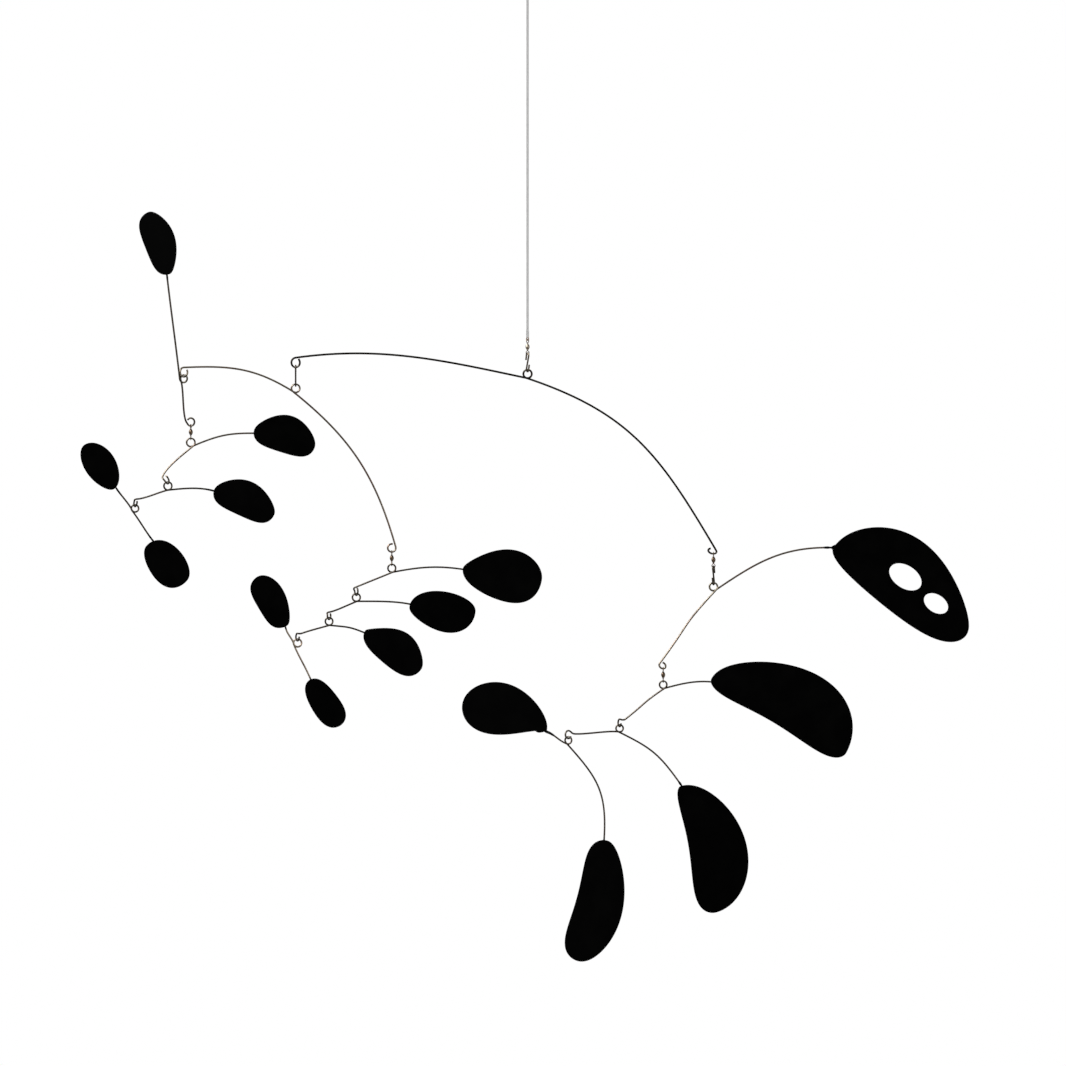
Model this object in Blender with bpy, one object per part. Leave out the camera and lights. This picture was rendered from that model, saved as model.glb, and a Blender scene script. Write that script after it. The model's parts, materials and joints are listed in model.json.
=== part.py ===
"""A hanging mobile: fourteen bent wire arms and fifteen flat black leaves under a cord and a ceiling fitting.

Every arm is one wire with a ring bent in it, and hangs by that ring from the arm above it: through a
hook, an S-hook or a barrel swivel. The script places the arms down that tree, so each arm is described
only in its own plane, from its own ring.

The numbers below are in millimetres and degrees, and the objects are made in metres. X is to the right,
Z is up and the viewer looks along +Y. The origin is the middle of the ceiling fitting's flat top. An
angle is a direction in an arm's plane, counterclockwise from X.
"""

import math
from collections import namedtuple

import bmesh
import bpy
import numpy as np

MM = 0.001
GAP = 0.3

MAIN_WIRE = 2.4
ARM_WIRE = 2.2
FAN_WIRE = 2.1
S_HOOK_WIRE = 2.0
EYE_WIRE = 1.0

SHEET = 1.0
WIRE_BEHIND_LEAF = 14.0
LEAF_EDGE_POINTS = 28
HOLE_EDGE_POINTS = 14

CORD = 2.8
CORD_POINTS = 20
CORD_SOCKET = 6.0
CORD_SLEEVE = (3.6, 9.0)
SLEEVE_ROOM = 0.15
CORD_LOOP = (1.2, 1.7)
CORD_LOOP_FACING = -40.0
CEILING_PLATE = (44.0, 4.0)
CEILING_BOSS = (9.0, 10.0)
ROUND_SIDES = 10

MAIN_RING_DROP = 466.0

BARREL = (4.9, 7.4)
BARREL_END = 2.6
BARREL_SOCKET = 1.2
SWIVEL_SPAN = 18.4
EYE_RADIUS = 2.1
EYE_OPENING = 45.0

S_HOOK_BEND = 2.8
S_HOOK_LEG = 5.5
LONG_S_HOOK = 25.0
SHORT_S_HOOK = 22.5
TOP_S_HOOK_FACING = 120.0

RING_STEP = 30.0
PASSING_ROOM = 0.2
BEND_STEP = 8.0
LOOP_SWEEP = 300.0
TWIST_OVER = 60.0

Leaf = namedtuple("Leaf", "name stem start angle length above below holes", defaults=((),))
"""A leaf lies along an axis of this angle and length from start. Its edge swells to a height above the
axis and another below it, each with a lean towards the far end and a fullness at both ends. The wire
meets its edge at stem. A hole is an ellipse: middle, half length and half width, along the axis."""

Loop = namedtuple(
    "Loop", "middle radius turn sweep twist entry neck flatness tilt",
    defaults=(1, LOOP_SWEEP, 0.0, None, 0.0, 1.0, 0.0),
)
"""A loop curls from the wire's end, to its left with turn 1 and to its right with turn -1, and is
twisted out of the arm's plane about the vertical. The wire may bend to another direction, entry, in a
short neck just before it. A flattened loop is an ellipse: flatness is its width over its length, and
its long axis is tilted from X."""

Run = namedtuple("Run", "leaving arriving end pull", defaults=(0.38,))
"""A run is the wire from the ring to one end, bent in one smooth curve between two directions."""

Arm = namedtuple("Arm", "name wire ring facing left right")
"""An arm's ring has this middle radius, and its plane faces this many degrees to the left."""

Hang = namedtuple("Hang", "arm parent side links s_hook_facing", defaults=(90.0,))

ARMS = {
    arm.name: arm
    for arm in (
        Arm(
            "main_arm", MAIN_WIRE, 5.1, 0.0,
            left=Run(168.0, 188.0, Loop((-278.3, 13.6), 5.1, sweep=312.0, flatness=1.14), pull=0.37),
            right=Run(-18.5, -59.5, Loop(
                (221.8, -212.6), 5.2, turn=-1, sweep=270.0, flatness=0.6, tilt=-15.0,
            ), pull=0.43),
        ),
        Arm(
            "left_arm", ARM_WIRE, 5.0, 6.0,
            left=Run(148.0, 182.5, Loop((-134.7, 19.2), 5.1, twist=26.0, flatness=1.12), pull=0.41),
            right=Run(-38.5, -74.0, Loop((116.0, -191.55), 4.9, turn=-1), pull=0.4),
        ),
        Arm(
            "mast_arm", ARM_WIRE, 4.6, -20.0,
            left=Run(96.5, 96.5, Leaf(
                "mast_leaf", (-21.0, 124.1), (-16.5, 125.6), 110.5, 79.5,
                (18.5, 0.09, 0.46), (21.5, 0.1, -0.28),
            ), pull=0.24),
            right=Run(-70.0, -66.5, Loop(
                (8.6, -51.95), 4.8, sweep=285.0, entry=-45.0, neck=5.0,
            ), pull=0.24),
        ),
        Arm(
            "upper_fan_arm_1", FAN_WIRE, 5.0, 6.0,
            left=Run(-138.5, -109.5, Loop(
                (-29.2, -44.8), 6.2, twist=50.0, flatness=0.56, tilt=-42.0,
            ), pull=0.24),
            right=Run(23.0, -0.5, Leaf(
                "upper_fan_leaf_1", (75.5, 11.1), (76.0, 14.6), -15.0, 76.0,
                (28.5, 0.03, -0.28), (17.0, 0.09, 0.42),
            ), pull=0.42),
        ),
        Arm(
            "upper_fan_arm_2", FAN_WIRE, 4.9, -6.0,
            left=Run(-169.5, -179.5, Loop(
                (-39.0, -20.3), 5.0, twist=-54.0, flatness=0.7, tilt=56.0,
            ), pull=0.24),
            right=Run(6.0, -16.0, Leaf(
                "upper_fan_leaf_2", (56.0, -6.1), (56.0, -4.4), -22.5, 78.5,
                (26.0, -0.04, -0.26), (17.0, 0.08, 0.46),
            ), pull=0.34),
        ),
        Arm(
            "upper_fan_arm_3", FAN_WIRE, 4.4, 8.0,
            left=Run(112.0, 119.5, Leaf(
                "upper_fan_leaf_3", (-22.8, 24.3), (-25.2, 23.4), 124.5, 64.0,
                (16.5, 0.09, -0.08), (21.0, 0.07, -0.06),
            ), pull=0.24),
            right=Run(-50.5, -49.0, Leaf(
                "upper_fan_leaf_4", (22.7, -39.8), (13.6, -44.9), -40.0, 64.5,
                (21.5, -0.14, 0.03), (23.0, 0.26, 0.06),
            ), pull=0.28),
        ),
        Arm(
            "middle_fan_arm_1", FAN_WIRE, 4.8, -7.0,
            left=Run(-157.5, -157.5, Loop((-42.8, -27.8), 4.9, twist=-60.0), pull=0.36),
            right=Run(11.0, -8.5, Leaf(
                "middle_fan_leaf_1", (86.1, -1.3), (86.0, -0.7), -7.5, 96.5,
                (30.0, 0.26, -0.21), (31.5, 0.28, 0.11),
            )),
        ),
        Arm(
            "middle_fan_arm_2", FAN_WIRE, 4.7, 6.0,
            left=Run(-161.0, -171.5, Loop((-33.0, -22.2), 4.4, twist=58.0), pull=0.25),
            right=Run(-0.5, -11.5, Leaf(
                "middle_fan_leaf_2", (64.6, -8.1), (64.0, -11.8), -3.5, 80.0,
                (21.5, -0.12, 0.0), (27.0, 0.29, -0.07),
            ), pull=0.32),
        ),
        Arm(
            "middle_fan_arm_3", FAN_WIRE, 4.6, -5.0,
            left=Run(-163.5, -159.0, Loop(
                (-37.9, -19.0), 4.5, twist=-58.0, entry=-200.0, neck=2.5,
            ), pull=0.26),
            right=Run(-6.0, -22.5, Leaf(
                "middle_fan_leaf_3", (44.5, -14.4), (43.6, -11.1), -34.5, 82.0,
                (26.0, 0.19, -0.43), (19.5, 0.18, 0.3),
            ), pull=0.5),
        ),
        Arm(
            "middle_fan_arm_4", FAN_WIRE, 4.8, 9.0,
            left=Run(109.0, 105.5, Leaf(
                "middle_fan_leaf_4", (-14.5, 17.5), (-13.0, 20.9), 122.0, 69.0,
                (18.5, -0.03, 0.44), (18.0, 0.24, -0.11),
            ), pull=0.37),
            right=Run(-67.5, -67.0, Leaf(
                "middle_fan_leaf_5", (15.9, -43.4), (13.8, -44.8), -54.5, 66.5,
                (16.5, 0.09, 0.26), (17.5, 0.13, 0.2),
            ), pull=0.36),
        ),
        Arm(
            "right_arm", ARM_WIRE, 4.8, 5.0,
            left=Run(-133.0, -127.0, Loop((-61.6, -94.55), 4.3, flatness=0.8, tilt=-40.0), pull=0.59),
            right=Run(34.0, -0.5, Leaf(
                "pierced_leaf", (140.4, 47.0), (144.6, 46.8), -33.0, 192.0,
                (64.0, -0.21, -0.19), (26.0, 0.32, 0.23),
                holes=(((231.6, 11.8), 21.5, 13.5), ((268.6, -20.2), 16.0, 10.5)),
            ), pull=0.4),
        ),
        Arm(
            "right_fan_arm_1", FAN_WIRE, 4.5, -5.0,
            left=Run(-146.0, -142.0, Loop(
                (-52.4, -45.9), 4.5, twist=-62.0, entry=-215.0, neck=3.4,
            ), pull=0.6),
            right=Run(15.0, -5.0, Leaf(
                "right_fan_leaf_1", (58.7, 3.4), (58.1, 7.5), -28.7, 184.9,
                (63.6, 0.23, -0.03), (10.6, 0.34, 1.55),
            ), pull=0.37),
        ),
        Arm(
            "right_fan_arm_2", FAN_WIRE, 4.3, 8.0,
            left=Run(171.5, 174.0, Loop(
                (-62.3, -7.5), 4.2, twist=24.0, entry=120.0, neck=3.0, flatness=1.15,
            ), pull=0.24),
            right=Run(-26.0, -54.5, Leaf(
                "right_fan_leaf_2", (75.2, -68.7), (74.3, -69.3), -74.0, 158.0,
                (57.0, 0.09, -0.06), (12.0, 0.9, 1.33),
            ), pull=0.46),
        ),
        Arm(
            "right_fan_arm_3", FAN_WIRE, 4.4, -18.0,
            left=Run(160.0, 166.5, Leaf(
                "right_fan_leaf_3", (-28.7, 10.7), (-26.4, 10.6), 161.1, 111.5,
                (23.6, 0.78, -0.24), (38.1, 0.11, -0.12),
            ), pull=0.37),
            right=Run(-46.5, -93.5, Leaf(
                "right_fan_leaf_4", (44.8, -117.0), (49.4, -119.9), -104.5, 149.5,
                (39.5, 0.12, -0.16), (20.0, 0.08, 1.01),
            ), pull=0.46),
        ),
    )
}

HANGS = (
    Hang("left_arm", "main_arm", "left", (LONG_S_HOOK,)),
    Hang("mast_arm", "left_arm", "left", ()),
    Hang("upper_fan_arm_1", "mast_arm", "right", ("swivel",)),
    Hang("upper_fan_arm_2", "upper_fan_arm_1", "left", ()),
    Hang("upper_fan_arm_3", "upper_fan_arm_2", "left", ()),
    Hang("middle_fan_arm_1", "left_arm", "right", ("swivel",)),
    Hang("middle_fan_arm_2", "middle_fan_arm_1", "left", ()),
    Hang("middle_fan_arm_3", "middle_fan_arm_2", "left", ()),
    Hang("middle_fan_arm_4", "middle_fan_arm_3", "left", ()),
    Hang("right_arm", "main_arm", "right", ("swivel", SHORT_S_HOOK), 65.0),
    Hang("right_fan_arm_1", "right_arm", "left", ("swivel",)),
    Hang("right_fan_arm_2", "right_fan_arm_1", "left", ()),
    Hang("right_fan_arm_3", "right_fan_arm_2", "left", ()),
)


def material(name, colour, roughness, metallic):
    finish = bpy.data.materials.new(name)
    finish.use_nodes = True
    shader = finish.node_tree.nodes["Principled BSDF"]
    shader.inputs["Base Color"].default_value = (*colour, 1.0)
    shader.inputs["Roughness"].default_value = roughness
    shader.inputs["Metallic"].default_value = metallic
    return finish


def towards(angle):
    """The unit vector of an angle in an arm's plane, as x and z."""
    return np.array([math.cos(math.radians(angle)), math.sin(math.radians(angle))])


def seat(lower_wire, upper_wire):
    """How far apart the middles of two wires are, where one hangs over the other."""
    return (lower_wire + upper_wire) / 2 + GAP


def ring_sweep(arm):
    """Where the wire comes onto the arm's ring from the left run, and how far it goes round."""
    first = (arm.left.leaving + 90) % 360
    return first, (arm.right.leaving - 90 - first + 180) % 360 + 180


def ring_depth(arm, angle):
    """How far behind the arm's plane the wire is at an angle round the ring.

    The wire steps back as it goes round, to pass itself, and is in the arm's plane at the ring's top.
    """
    sweep = ring_sweep(arm)[1]
    return (angle - 450) / sweep * (arm.wire + GAP + PASSING_ROOM)


def run_depth(arm, side):
    first, sweep = ring_sweep(arm)
    return ring_depth(arm, first if side < 0 else first + sweep)


def place(name, data, finish, parent, at=(0.0, 0.0, 0.0), facing=0.0, tip=0.0):
    """One named piece, at a place in millimetres in its parent's frame."""
    piece = bpy.data.objects.new(name, data)
    piece.data.materials.append(finish)
    piece.location = [MM * value for value in at]
    piece.rotation_euler = (math.radians(tip), 0.0, math.radians(facing))
    piece.parent = parent
    bpy.context.scene.collection.objects.link(piece)
    return piece


def wire_curve(name, points, diameter):
    """A round wire through the given points."""
    curve = bpy.data.curves.new(name, "CURVE")
    curve.dimensions = "3D"
    curve.bevel_depth = MM * diameter / 2
    curve.bevel_resolution = 1
    curve.use_fill_caps = True
    spline = curve.splines.new("POLY")
    spline.points.add(len(points) - 1)
    for knot, point in zip(spline.points, points):
        knot.co = (*(MM * value for value in point), 1.0)
    return curve


def turned_mesh(name, profile, sides=ROUND_SIDES):
    """A turned solid. Its profile is of radius and height, from the middle of the top to the underside's."""
    mesh = bpy.data.meshes.new(name)
    shape = bmesh.new()
    points = [shape.verts.new((MM * radius, 0.0, MM * height)) for radius, height in profile]
    edges = [shape.edges.new(pair) for pair in zip(points, points[1:])]
    bmesh.ops.spin(
        shape, geom=points + edges, cent=(0, 0, 0), axis=(0, 0, 1),
        angle=math.tau, steps=sides, use_merge=True,
    )
    bmesh.ops.remove_doubles(shape, verts=shape.verts, dist=MM * 0.001)
    bmesh.ops.recalc_face_normals(shape, faces=shape.faces)
    shape.to_mesh(mesh)
    shape.free()
    mesh.shade_smooth()
    mesh.set_sharp_from_angle(angle=math.radians(35))
    return mesh


def bend(start, leaving, end, arriving, pull):
    """Points of one smooth bend between two places and directions in an arm's plane."""
    start, end = np.array(start), np.array(end)
    handle = pull * np.linalg.norm(end - start)
    corners = (start, start + handle * towards(leaving), end - handle * towards(arriving), end)
    chord = math.degrees(math.atan2(end[1] - start[1], end[0] - start[0]))
    turning = sum(abs((angle - chord + 180) % 360 - 180) for angle in (leaving, arriving))
    steps = max(2, math.ceil(turning / BEND_STEP))
    return [
        sum(math.comb(3, k) * t**k * (1 - t) ** (3 - k) * corner for k, corner in enumerate(corners))
        for t in np.linspace(0, 1, steps + 1)
    ]


def round_angles(first, sweep):
    """Angles round a ring or loop, with one at the very top and bottom, where another wire hangs."""
    last, margin = first + sweep, RING_STEP / 3
    low, high = min(first, last) + margin, max(first, last) - margin
    inner = [k * RING_STEP for k in range(math.ceil(low / RING_STEP), math.floor(high / RING_STEP) + 1)]
    return [first] + (inner if sweep > 0 else inner[::-1]) + [last]


def onto_loop(loop, direction):
    """The angle round a loop at which the wire runs in the given direction."""
    x, z = towards(direction - 90 * loop.turn - loop.tilt)
    return math.degrees(math.atan2(loop.flatness * z, x))


def on_loop(loop, angle):
    """The place on a loop at an angle round it, from its middle."""
    out, up = loop.radius * towards(angle)
    along = towards(loop.tilt)
    return out * along + loop.flatness * up * np.array([-along[1], along[0]])


def loop_lowest(loop, depth):
    """The middle of the wire at a loop's lowest place, where the arm below hangs."""
    x, z = towards(loop.tilt)
    out, up = on_loop(loop, math.degrees(math.atan2(-loop.flatness * x, -z)))
    right, back = out * towards(loop.twist)
    return loop.middle[0] + right, depth + back, loop.middle[1] + up


def loop_points(loop, direction, depth):
    """Points round a loop, from where the wire starts along it in the given direction."""
    first = onto_loop(loop, direction)
    points = []
    for angle in round_angles(first, loop.turn * loop.sweep):
        out, up = on_loop(loop, angle)
        twist = math.radians(loop.twist) * min(1.0, abs(angle - first) / TWIST_OVER)
        x = loop.middle[0] + out * math.cos(twist)
        points.append((x, depth + out * math.sin(twist), loop.middle[1] + up))
    return points


def run_points(arm, side):
    """Points of the wire from the ring to one end. Side is -1 to the left and 1 to the right."""
    run = arm.left if side < 0 else arm.right
    depth = run_depth(arm, side)
    start = arm.ring * towards(run.leaving - 90 * side)
    if isinstance(run.end, Leaf):
        flat = bend(start, run.leaving, run.end.stem, run.arriving, run.pull)
        flat.append(np.array(run.end.stem) + WIRE_BEHIND_LEAF * towards(run.arriving))
        return [(x, depth, z) for x, z in flat]
    loop = run.end
    entry = run.arriving if loop.entry is None else loop.entry
    neck = loop.neck * towards((run.arriving + entry) / 2)
    before_loop = loop.middle + on_loop(loop, onto_loop(loop, entry)) - neck
    flat = bend(start, run.leaving, before_loop, run.arriving, run.pull)
    if not loop.neck:
        flat.pop()
    return [(x, depth, z) for x, z in flat] + loop_points(loop, entry, depth)


def ring_points(arm):
    """Points round the ring between the two runs."""
    points = []
    for angle in round_angles(*ring_sweep(arm))[1:-1]:
        x, z = arm.ring * towards(angle)
        points.append((x, ring_depth(arm, angle), z))
    return points


def leaf_edge(leaf):
    """Points round a leaf's edge, from its near end."""
    along = towards(leaf.angle)
    across = np.array([-along[1], along[0]])
    points = []
    for turned in np.linspace(0, math.tau, LEAF_EDGE_POINTS, endpoint=False):
        place_on_axis, swell = -math.cos(turned), math.sin(turned)
        height, lean, fullness = leaf.above if swell >= 0 else leaf.below
        swell *= height * (1 + lean * place_on_axis + fullness * place_on_axis**2)
        points.append(leaf.start + leaf.length / 2 * (1 + place_on_axis) * along + swell * across)
    return points


def hole_edge(leaf, middle, half_length, half_width):
    along = towards(leaf.angle)
    across = np.array([-along[1], along[0]])
    return [
        middle + half_length * math.cos(turned) * along + half_width * math.sin(turned) * across
        for turned in np.linspace(0, math.tau, HOLE_EDGE_POINTS, endpoint=False)
    ]


def make_leaf(leaf, arm, side, turning):
    """A leaf of flat sheet, in front of the wire that carries it."""
    curve = bpy.data.curves.new(leaf.name, "CURVE")
    curve.dimensions = "2D"
    curve.fill_mode = "BOTH"
    curve.extrude = MM * SHEET / 2
    for edge in [leaf_edge(leaf)] + [hole_edge(leaf, *hole) for hole in leaf.holes]:
        spline = curve.splines.new("POLY")
        spline.use_cyclic_u = True
        spline.points.add(len(edge) - 1)
        for knot, (x, z) in zip(spline.points, edge):
            knot.co = (MM * x, MM * z, 0.0, 1.0)
    depth = run_depth(arm, side) - arm.wire / 2 - GAP - SHEET / 2
    place(leaf.name, curve, BLACK_PAINT, turning, at=(0, depth, 0), tip=90)


def make_arm(arm, turning):
    """The arm's one wire, and the leaves on its ends."""
    points = run_points(arm, -1)[::-1] + ring_points(arm) + run_points(arm, 1)
    place(arm.name, wire_curve(arm.name, points, arm.wire), STEEL, turning)
    for side, run in ((-1, arm.left), (1, arm.right)):
        if isinstance(run.end, Leaf):
            make_leaf(run.end, arm, side, turning)


def make_eye(name, up, carrier, at, facing):
    """A swivel's bent eye, with its stem in the barrel's socket.

    Up is 1 for the upper eye and -1 for the lower, and at is the barrel's middle.
    """
    middle = SWIVEL_SPAN / 2 - EYE_RADIUS
    stem_foot = BARREL[1] / 2 - BARREL_SOCKET + GAP
    points = [(0.0, 0.0, up * stem_foot)]
    for angle in np.linspace(-90 + EYE_OPENING / 2, 270 - EYE_OPENING, 9):
        x, z = EYE_RADIUS * towards(angle)
        points.append((x, 0.0, up * (middle + z)))
    place(name, wire_curve(name, points, EYE_WIRE), SWIVEL_METAL, carrier, at, facing)


def make_barrel(name, carrier, at):
    """A swivel's barrel, with a socket for a stem in each end."""
    radius, half = BARREL[0] / 2, BARREL[1] / 2
    socket = EYE_WIRE / 2 + GAP
    top_half = [
        (0.0, half - BARREL_SOCKET), (socket, half - BARREL_SOCKET), (socket, half), (BARREL_END / 2, half),
        (0.93 * radius, 0.45 * half), (radius, 0.15 * half),
    ]
    profile = top_half + [(width, -height) for width, height in reversed(top_half)]
    place(name, turned_mesh(name, profile, sides=8), SWIVEL_METAL, carrier, at)


def make_s_hook(name, span, carrier, at, facing):
    """An S-hook, hung so that the middle of its top bend's wire is at the given place."""
    height = span / 2 - S_HOOK_BEND
    half = [(S_HOOK_BEND + 1.2, height - S_HOOK_LEG)]
    half += [(x, height + z) for x, z in (S_HOOK_BEND * towards(a) for a in np.linspace(-10, 190, 9))]
    points = half + [(-x, -z) for x, z in reversed(half)]
    middle = (at[0], at[1], at[2] - span / 2)
    wire = wire_curve(name, [(x, 0.0, z) for x, z in points], S_HOOK_WIRE)
    place(name, wire, STEEL, carrier, middle, facing)


def make_links(name, links, above, carrier, turning, at, loop_facing, s_hook_facing):
    """The swivel and S-hook between two arms, from the top down.

    At is the middle of the wire that they hang over, and above is how thick it is. What is above a
    swivel's lower eye stays with the arm above, and the rest turns with the arm below.
    """
    x, y, z = at
    below = not links or links[0] != "swivel"
    for link in links:
        wire, span = (EYE_WIRE, SWIVEL_SPAN) if link == "swivel" else (S_HOOK_WIRE, link)
        z += seat(above, wire)
        if link == "swivel":
            barrel_at = (x, y, z - span / 2)
            make_eye(f"{name}_swivel_upper_eye", 1, carrier, barrel_at, loop_facing + 90)
            make_barrel(f"{name}_swivel_barrel", carrier, barrel_at)
            under = (0.0, 0.0, barrel_at[2] - turning.location.z / MM)
            lower_facing = 90.0 if len(links) == 1 else s_hook_facing + 90
            make_eye(f"{name}_swivel_lower_eye", -1, turning, under, lower_facing)
        elif below:
            make_s_hook(f"{name}_s_hook", span, carrier, (x, y, z), loop_facing + 90)
        else:
            under = (0.0, 0.0, z - turning.location.z / MM)
            make_s_hook(f"{name}_s_hook", span, turning, under, s_hook_facing)
        z -= span
        above = wire


def ring_drop(links, above, arm):
    """How far an arm's ring is below the middle of the wire that its links hang over."""
    drop = 0.0
    for link in links:
        wire, span = (EYE_WIRE, SWIVEL_SPAN) if link == "swivel" else (S_HOOK_WIRE, link)
        drop += span - seat(above, wire)
        above = wire
    return drop - seat(above, arm.wire) + arm.ring


def make_turning(name, parent, at, facing):
    """The upright axis on which an arm turns, in the middle of its ring."""
    turning = bpy.data.objects.new(f"turning_{name}", None)
    turning.location = [MM * value for value in at]
    turning.rotation_euler.z = math.radians(facing)
    turning.parent = parent
    bpy.context.scene.collection.objects.link(turning)
    return turning


def hang_arm(hang, turnings):
    """Hangs an arm and its links from a loop of the arm above it."""
    arm, parent = ARMS[hang.arm], ARMS[hang.parent]
    side = -1 if hang.side == "left" else 1
    loop = (parent.left if side < 0 else parent.right).end
    bottom = loop_lowest(loop, run_depth(parent, side))
    middle = (bottom[0], bottom[1], bottom[2] - ring_drop(hang.links, parent.wire, arm))
    carrier = turnings[hang.parent]
    turning = make_turning(arm.name, carrier, middle, arm.facing - parent.facing)
    turnings[hang.arm] = turning
    make_links(arm.name, hang.links, parent.wire, carrier, turning, bottom, loop.twist, hang.s_hook_facing)
    make_arm(arm, turning)


def make_ceiling_fitting():
    """A round plate with a flat top and a boss below it, where the cord's upper end is held."""
    plate_radius, plate = CEILING_PLATE[0] / 2, CEILING_PLATE[1]
    boss_radius, foot = CEILING_BOSS[0] / 2, -plate - CEILING_BOSS[1]
    socket = CORD / 2 + GAP
    profile = [
        (0.0, 0.0), (plate_radius, 0.0), (plate_radius, -0.5 * plate), (0.9 * plate_radius, -0.9 * plate),
        (boss_radius, -plate), (boss_radius, foot + 1.0), (boss_radius - 1.0, foot), (socket, foot),
        (socket, foot + CORD_SOCKET), (0.0, foot + CORD_SOCKET),
    ]
    name = "ceiling_fitting"
    place(name, turned_mesh(name, profile, sides=14), FITTING_METAL, None)
    return foot + CORD_SOCKET - GAP


def make_cord_sleeve(eye_top):
    """The sleeve pressed on the cord's lower end, with the loop that holds the top swivel.

    It returns the height of its socket's floor.
    """
    wire, loop_radius = CORD_LOOP
    radius, length = CORD_SLEEVE[0] / 2, CORD_SLEEVE[1]
    loop_middle = eye_top - seat(EYE_WIRE, wire) + loop_radius
    foot = loop_middle + loop_radius - wire / 2
    socket, floor = CORD / 2 + SLEEVE_ROOM, foot + length - CORD_SOCKET
    top = foot + length
    profile = [
        (0.0, floor), (socket, floor), (socket, top),
        (radius, top), (radius, foot + 1.0), (0.7 * radius, foot), (0.0, foot),
    ]
    sleeve = place("cord_sleeve", turned_mesh("cord_sleeve", profile), CORD_GREY, None)
    bpy.ops.mesh.primitive_torus_add(
        major_radius=MM * loop_radius, minor_radius=MM * wire / 2, major_segments=12, minor_segments=6,
        location=(0, 0, MM * loop_middle), rotation=(math.radians(90), 0, math.radians(CORD_LOOP_FACING)),
    )
    loop = bpy.context.object
    loop.name = "cord_sleeve_loop"
    loop.hide_render = True
    loop.display_type = "WIRE"
    join = sleeve.modifiers.new("loop", "BOOLEAN")
    join.operation = "UNION"
    join.object = loop
    return floor


def make_cord(foot, top):
    """The cord, straight down between its two sockets."""
    points = [(0.0, 0.0, z) for z in np.linspace(top, foot, CORD_POINTS)]
    cord = wire_curve("cord", points, CORD)
    cord.bevel_resolution = 2
    place("cord", cord, CORD_GREY, None)


def hang_main_arm():
    """The ceiling fitting, the cord, the top swivel and S-hook, and the main arm under them."""
    arm, links = ARMS["main_arm"], ("swivel", SHORT_S_HOOK)
    turning = make_turning(arm.name, None, (0, 0, -MAIN_RING_DROP), arm.facing)
    hanging_wire = CORD_LOOP[0]
    bottom = (0.0, 0.0, ring_drop(links, hanging_wire, arm) - MAIN_RING_DROP)
    make_links(arm.name, links, hanging_wire, None, turning, bottom, CORD_LOOP_FACING, TOP_S_HOOK_FACING)
    cord_top = make_ceiling_fitting()
    socket_floor = make_cord_sleeve(bottom[2] + seat(hanging_wire, EYE_WIRE))
    make_cord(socket_floor + GAP, cord_top)
    make_arm(arm, turning)
    return turning


for leftover in list(bpy.data.objects):
    bpy.data.objects.remove(leftover, do_unlink=True)

STEEL = material("steel_wire", (0.23, 0.21, 0.18), 0.35, 1.0)
BLACK_PAINT = material("black_paint", (0.012, 0.012, 0.012), 0.6, 0.0)
SWIVEL_METAL = material("swivel_metal", (0.20, 0.16, 0.11), 0.3, 1.0)
CORD_GREY = material("cord_grey", (0.50, 0.50, 0.50), 0.8, 0.0)
FITTING_METAL = material("fitting_metal", (0.55, 0.55, 0.55), 0.4, 1.0)

turnings = {"main_arm": hang_main_arm()}
for hang in HANGS:
    hang_arm(hang, turnings)
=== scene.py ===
"""The looks of a hanging mobile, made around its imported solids.

Fourteen bent wire arms hang one below another under a cord, and carry fifteen flat leaves of black sheet.
Each arm is described in its own plane, in millimetres and degrees, from the middle of the ring that it
hangs by. X is to the right, Z is up and depth is away from the viewer. An angle is a direction in the
arm's plane, counterclockwise from X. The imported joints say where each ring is.
"""

import json
import math
from collections import namedtuple

import bpy
import numpy as np
from bpy.props import FloatProperty, FloatVectorProperty, PointerProperty
from bpy.types import Operator, Panel, PropertyGroup
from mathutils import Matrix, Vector, noise
from mathutils.geometry import delaunay_2d_cdt

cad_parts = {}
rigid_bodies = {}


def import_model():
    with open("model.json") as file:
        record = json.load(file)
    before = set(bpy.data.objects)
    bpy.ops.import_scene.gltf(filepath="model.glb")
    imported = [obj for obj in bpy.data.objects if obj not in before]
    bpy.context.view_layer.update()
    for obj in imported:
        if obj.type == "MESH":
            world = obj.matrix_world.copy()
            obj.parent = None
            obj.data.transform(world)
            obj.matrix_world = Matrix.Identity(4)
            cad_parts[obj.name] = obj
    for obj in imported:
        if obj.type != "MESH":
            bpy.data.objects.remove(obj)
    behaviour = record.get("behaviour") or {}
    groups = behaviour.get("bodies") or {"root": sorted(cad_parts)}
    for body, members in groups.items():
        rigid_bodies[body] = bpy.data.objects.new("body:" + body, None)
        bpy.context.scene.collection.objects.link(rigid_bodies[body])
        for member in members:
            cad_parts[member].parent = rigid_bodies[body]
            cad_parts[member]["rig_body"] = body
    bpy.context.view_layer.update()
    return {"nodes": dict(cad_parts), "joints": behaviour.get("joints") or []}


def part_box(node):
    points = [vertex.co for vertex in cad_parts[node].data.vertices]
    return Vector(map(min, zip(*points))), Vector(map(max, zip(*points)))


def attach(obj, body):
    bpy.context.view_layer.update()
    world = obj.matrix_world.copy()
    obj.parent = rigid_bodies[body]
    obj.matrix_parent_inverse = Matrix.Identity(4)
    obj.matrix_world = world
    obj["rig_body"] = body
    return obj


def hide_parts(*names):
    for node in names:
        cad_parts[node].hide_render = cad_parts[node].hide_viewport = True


bl_info = {
    "name": "Hanging mobile",
    "version": (1, 0, 0),
    "blender": (4, 5, 0),
    "location": "View3D > Sidebar > Mobile",
    "description": "Dresses the solids of a hanging mobile in wire, painted sheet and braided cord",
    "category": "Object",
}

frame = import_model()

MM = 0.001
MILLIMETRES = 1000.0

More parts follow.
